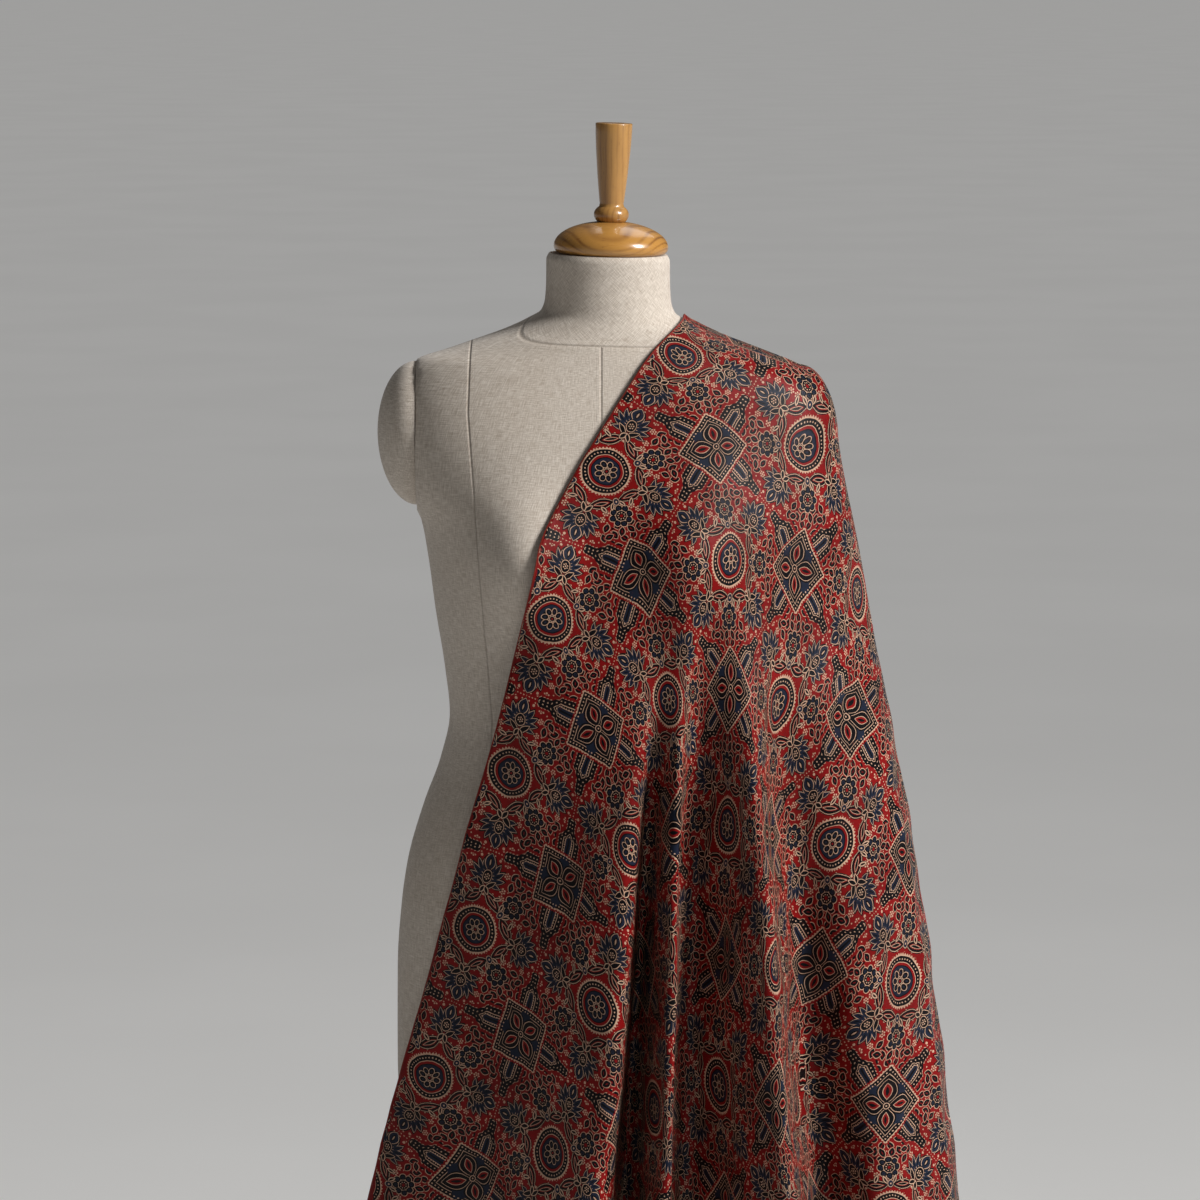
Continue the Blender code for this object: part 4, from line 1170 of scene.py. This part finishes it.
def build_stand(wood, steel):
    top = FORM_BOTTOM - PIECE_GAP
    plate = [(0.0, top), (0.074, top), (0.075, top - 0.001)]
    plate += [(0.075, top - 0.011), (0.074, top - 0.012), (0.0, top - 0.012)]
    give(lathe("plate_turned", plate, wood), "wood", "form_plate")
    pole = [(0.0, top - 0.0123), (0.0136, top - 0.0123), (0.014, top - 0.0130), (0.014, 0.0697), (0.0, 0.0697)]
    give(lathe("pole_tube", pole, steel, 64), "pole", "pole")
    foot = [(0.0, 0.069), (0.025, 0.069)] + arc((0.025, 0.064), (0.005, 0.005), 20, 90, 6) + [(0.030, 0.036)]
    foot += [(0.0315, 0.0300), (0.0350, 0.0262), (0.040, 0.0240), (0.160, 0.0236)]
    foot += arc((0.165, 0.0140), (0.010, 0.0096), 10, 90, 8) + [(0.175, 0.002), (0.173, 0.0), (0.0, 0.0)]
    give(lathe("base_turned", foot, wood, 128), "wood", "base")


def build_cloth(mat):
    coarse = Sheet(*COARSE)
    coarse.relax(6)
    flat = flatten(coarse, print_pins(coarse))
    fine = Sheet(*FINE)
    shape = finer(coarse.points, coarse, fine)
    band = ease((fine.points[:, 2] - RELAX_FROM) / RELAX_STARTS)
    fine.points = fine.points + band[:, None] * (shape - fine.points)
    fine.relax(2)
    fine_flat = finer(flat, coarse, fine)
    fine.soften(2)
    crease(fine, fine_flat)
    obj = add_object("silk_sheet", fine.points, fine.quads, mat, False)
    layer = obj.data.uv_layers.new(name="flat")
    corners = np.zeros(len(obj.data.loops), int)
    obj.data.loops.foreach_get("vertex_index", corners)
    layer.data.foreach_set("uv", fine_flat[corners].astype(np.float32).ravel())
    gap = obj.data.attributes.new("rim_gap", "FLOAT", "POINT")
    gap.data.foreach_set("value", rim_distance(fine).astype(np.float32))
    solidify = obj.modifiers.new("thickness", "SOLIDIFY")
    solidify.thickness = SILK_THICKNESS
    solidify.offset = 0.0
    give(obj, "silk", "ajrakh_cloth")


def add_area(name, azimuth, elevation, distance, size, power, colour):
    """A soft light: azimuth from the front to the viewer's right and elevation above level, in degrees."""
    light = bpy.data.lights.new(name, "AREA")
    light.shape = "RECTANGLE"
    light.size, light.size_y = size
    light.energy = power
    light.color = colour
    obj = bpy.data.objects.new(name, light)
    bpy.context.scene.collection.objects.link(obj)
    turn, lift = math.radians(azimuth), math.radians(elevation)
    away = Vector((math.sin(turn) * math.cos(lift), -math.cos(turn) * math.cos(lift), math.sin(lift)))
    obj.location = Vector(LIT_POINT) + away * distance
    obj.rotation_euler = (-away).to_track_quat("-Z", "Y").to_euler()
    return obj


def build_studio():
    key = add_area("key", 64, 34, 2.9, (0.8, 1.0), 56.0, (1.0, 0.985, 0.96))
    add_area("fill", -52, 16, 3.6, (1.8, 2.2), 0.9, (0.97, 0.98, 1.0))
    add_area("top", 165, 52, 3.0, (1.6, 1.6), 13.0, (1.0, 1.0, 1.0))
    far = bpy.data.lights.new("far_key", "SUN")
    far.energy = 2.15
    far.angle = math.radians(16)
    far_key = bpy.data.objects.new("far_key", far)
    bpy.context.scene.collection.objects.link(far_key)
    far_key.rotation_euler = key.rotation_euler
    # The camera sees a grey backdrop, while a dim sky lights the pieces.
    world = bpy.data.worlds.new("studio")
    world.use_nodes = True
    nodes, links = world.node_tree.nodes, world.node_tree.links
    sky = nodes["Background"]
    sky.inputs["Color"].default_value = (0.92, 0.92, 0.92, 1.0)
    sky.inputs["Strength"].default_value = 0.05
    backdrop = nodes.new("ShaderNodeBackground")
    backdrop.inputs["Color"].default_value = (0.34, 0.34, 0.337, 1.0)
    mixed = nodes.new("ShaderNodeMixShader")
    links.new(nodes.new("ShaderNodeLightPath").outputs["Is Camera Ray"], mixed.inputs[0])
    links.new(sky.outputs[0], mixed.inputs[1])
    links.new(backdrop.outputs[0], mixed.inputs[2])
    links.new(mixed.outputs[0], nodes["World Output"].inputs["Surface"])
    bpy.context.scene.world = world
    bpy.context.scene.view_settings.view_transform = "Standard"
    corners = [(x * FLOOR_HALF, y * FLOOR_HALF, 0) for x, y in ((-1, -1), (1, -1), (1, 1), (-1, 1))]
    floor = add_object("studio_floor", corners, [(0, 1, 2, 3)], floor_material(), False)
    floor.location.z = -FLOOR_GAP


def build_camera():
    data = bpy.data.cameras.new("studio_camera")
    data.sensor_width = SENSOR
    data.sensor_fit = "HORIZONTAL"
    data.clip_end = CAMERA_SIGHT
    data.lens = SENSOR * CAMERA_DISTANCE / CAMERA_SPAN
    camera = bpy.data.objects.new("studio_camera", data)
    bpy.context.scene.collection.objects.link(camera)
    lift = math.radians(CAMERA_ELEVATION_DEG)
    away = Vector((0.0, -math.cos(lift), math.sin(lift)))
    camera.location = Vector(CAMERA_TARGET) + away * CAMERA_DISTANCE
    camera.rotation_euler = (-away).to_track_quat("-Z", "Y").to_euler()
    bpy.context.scene.camera = camera


def main():
    build_camera()
    build_studio()
    linen = linen_material("form_linen", True)
    build_torso(linen)
    plain_linen = linen_material("stub_linen", False)
    build_stub("stub_bare", "arm_stub_bare", -1, STUB_REACH, plain_linen)
    build_stub("stub_covered", "arm_stub_covered", 1, STUB_REACH_COVERED, plain_linen)
    light, dark = srgb(184, 132, 64), srgb(124, 78, 34)
    cap_wood = wood_material("cap_wood", (0.0, 0.0, 1.60), light, dark, True)
    finial_wood = wood_material("finial_wood", (0.0, 0.0, 1.60), srgb(170, 124, 66), srgb(136, 94, 48), False)
    build_cap(cap_wood, finial_wood)
    base_wood = wood_material("base_wood", (0.0, 0.0, 0.0), light, dark, True)
    build_stand(base_wood, steel_material())
    build_cloth(silk_material())


main()
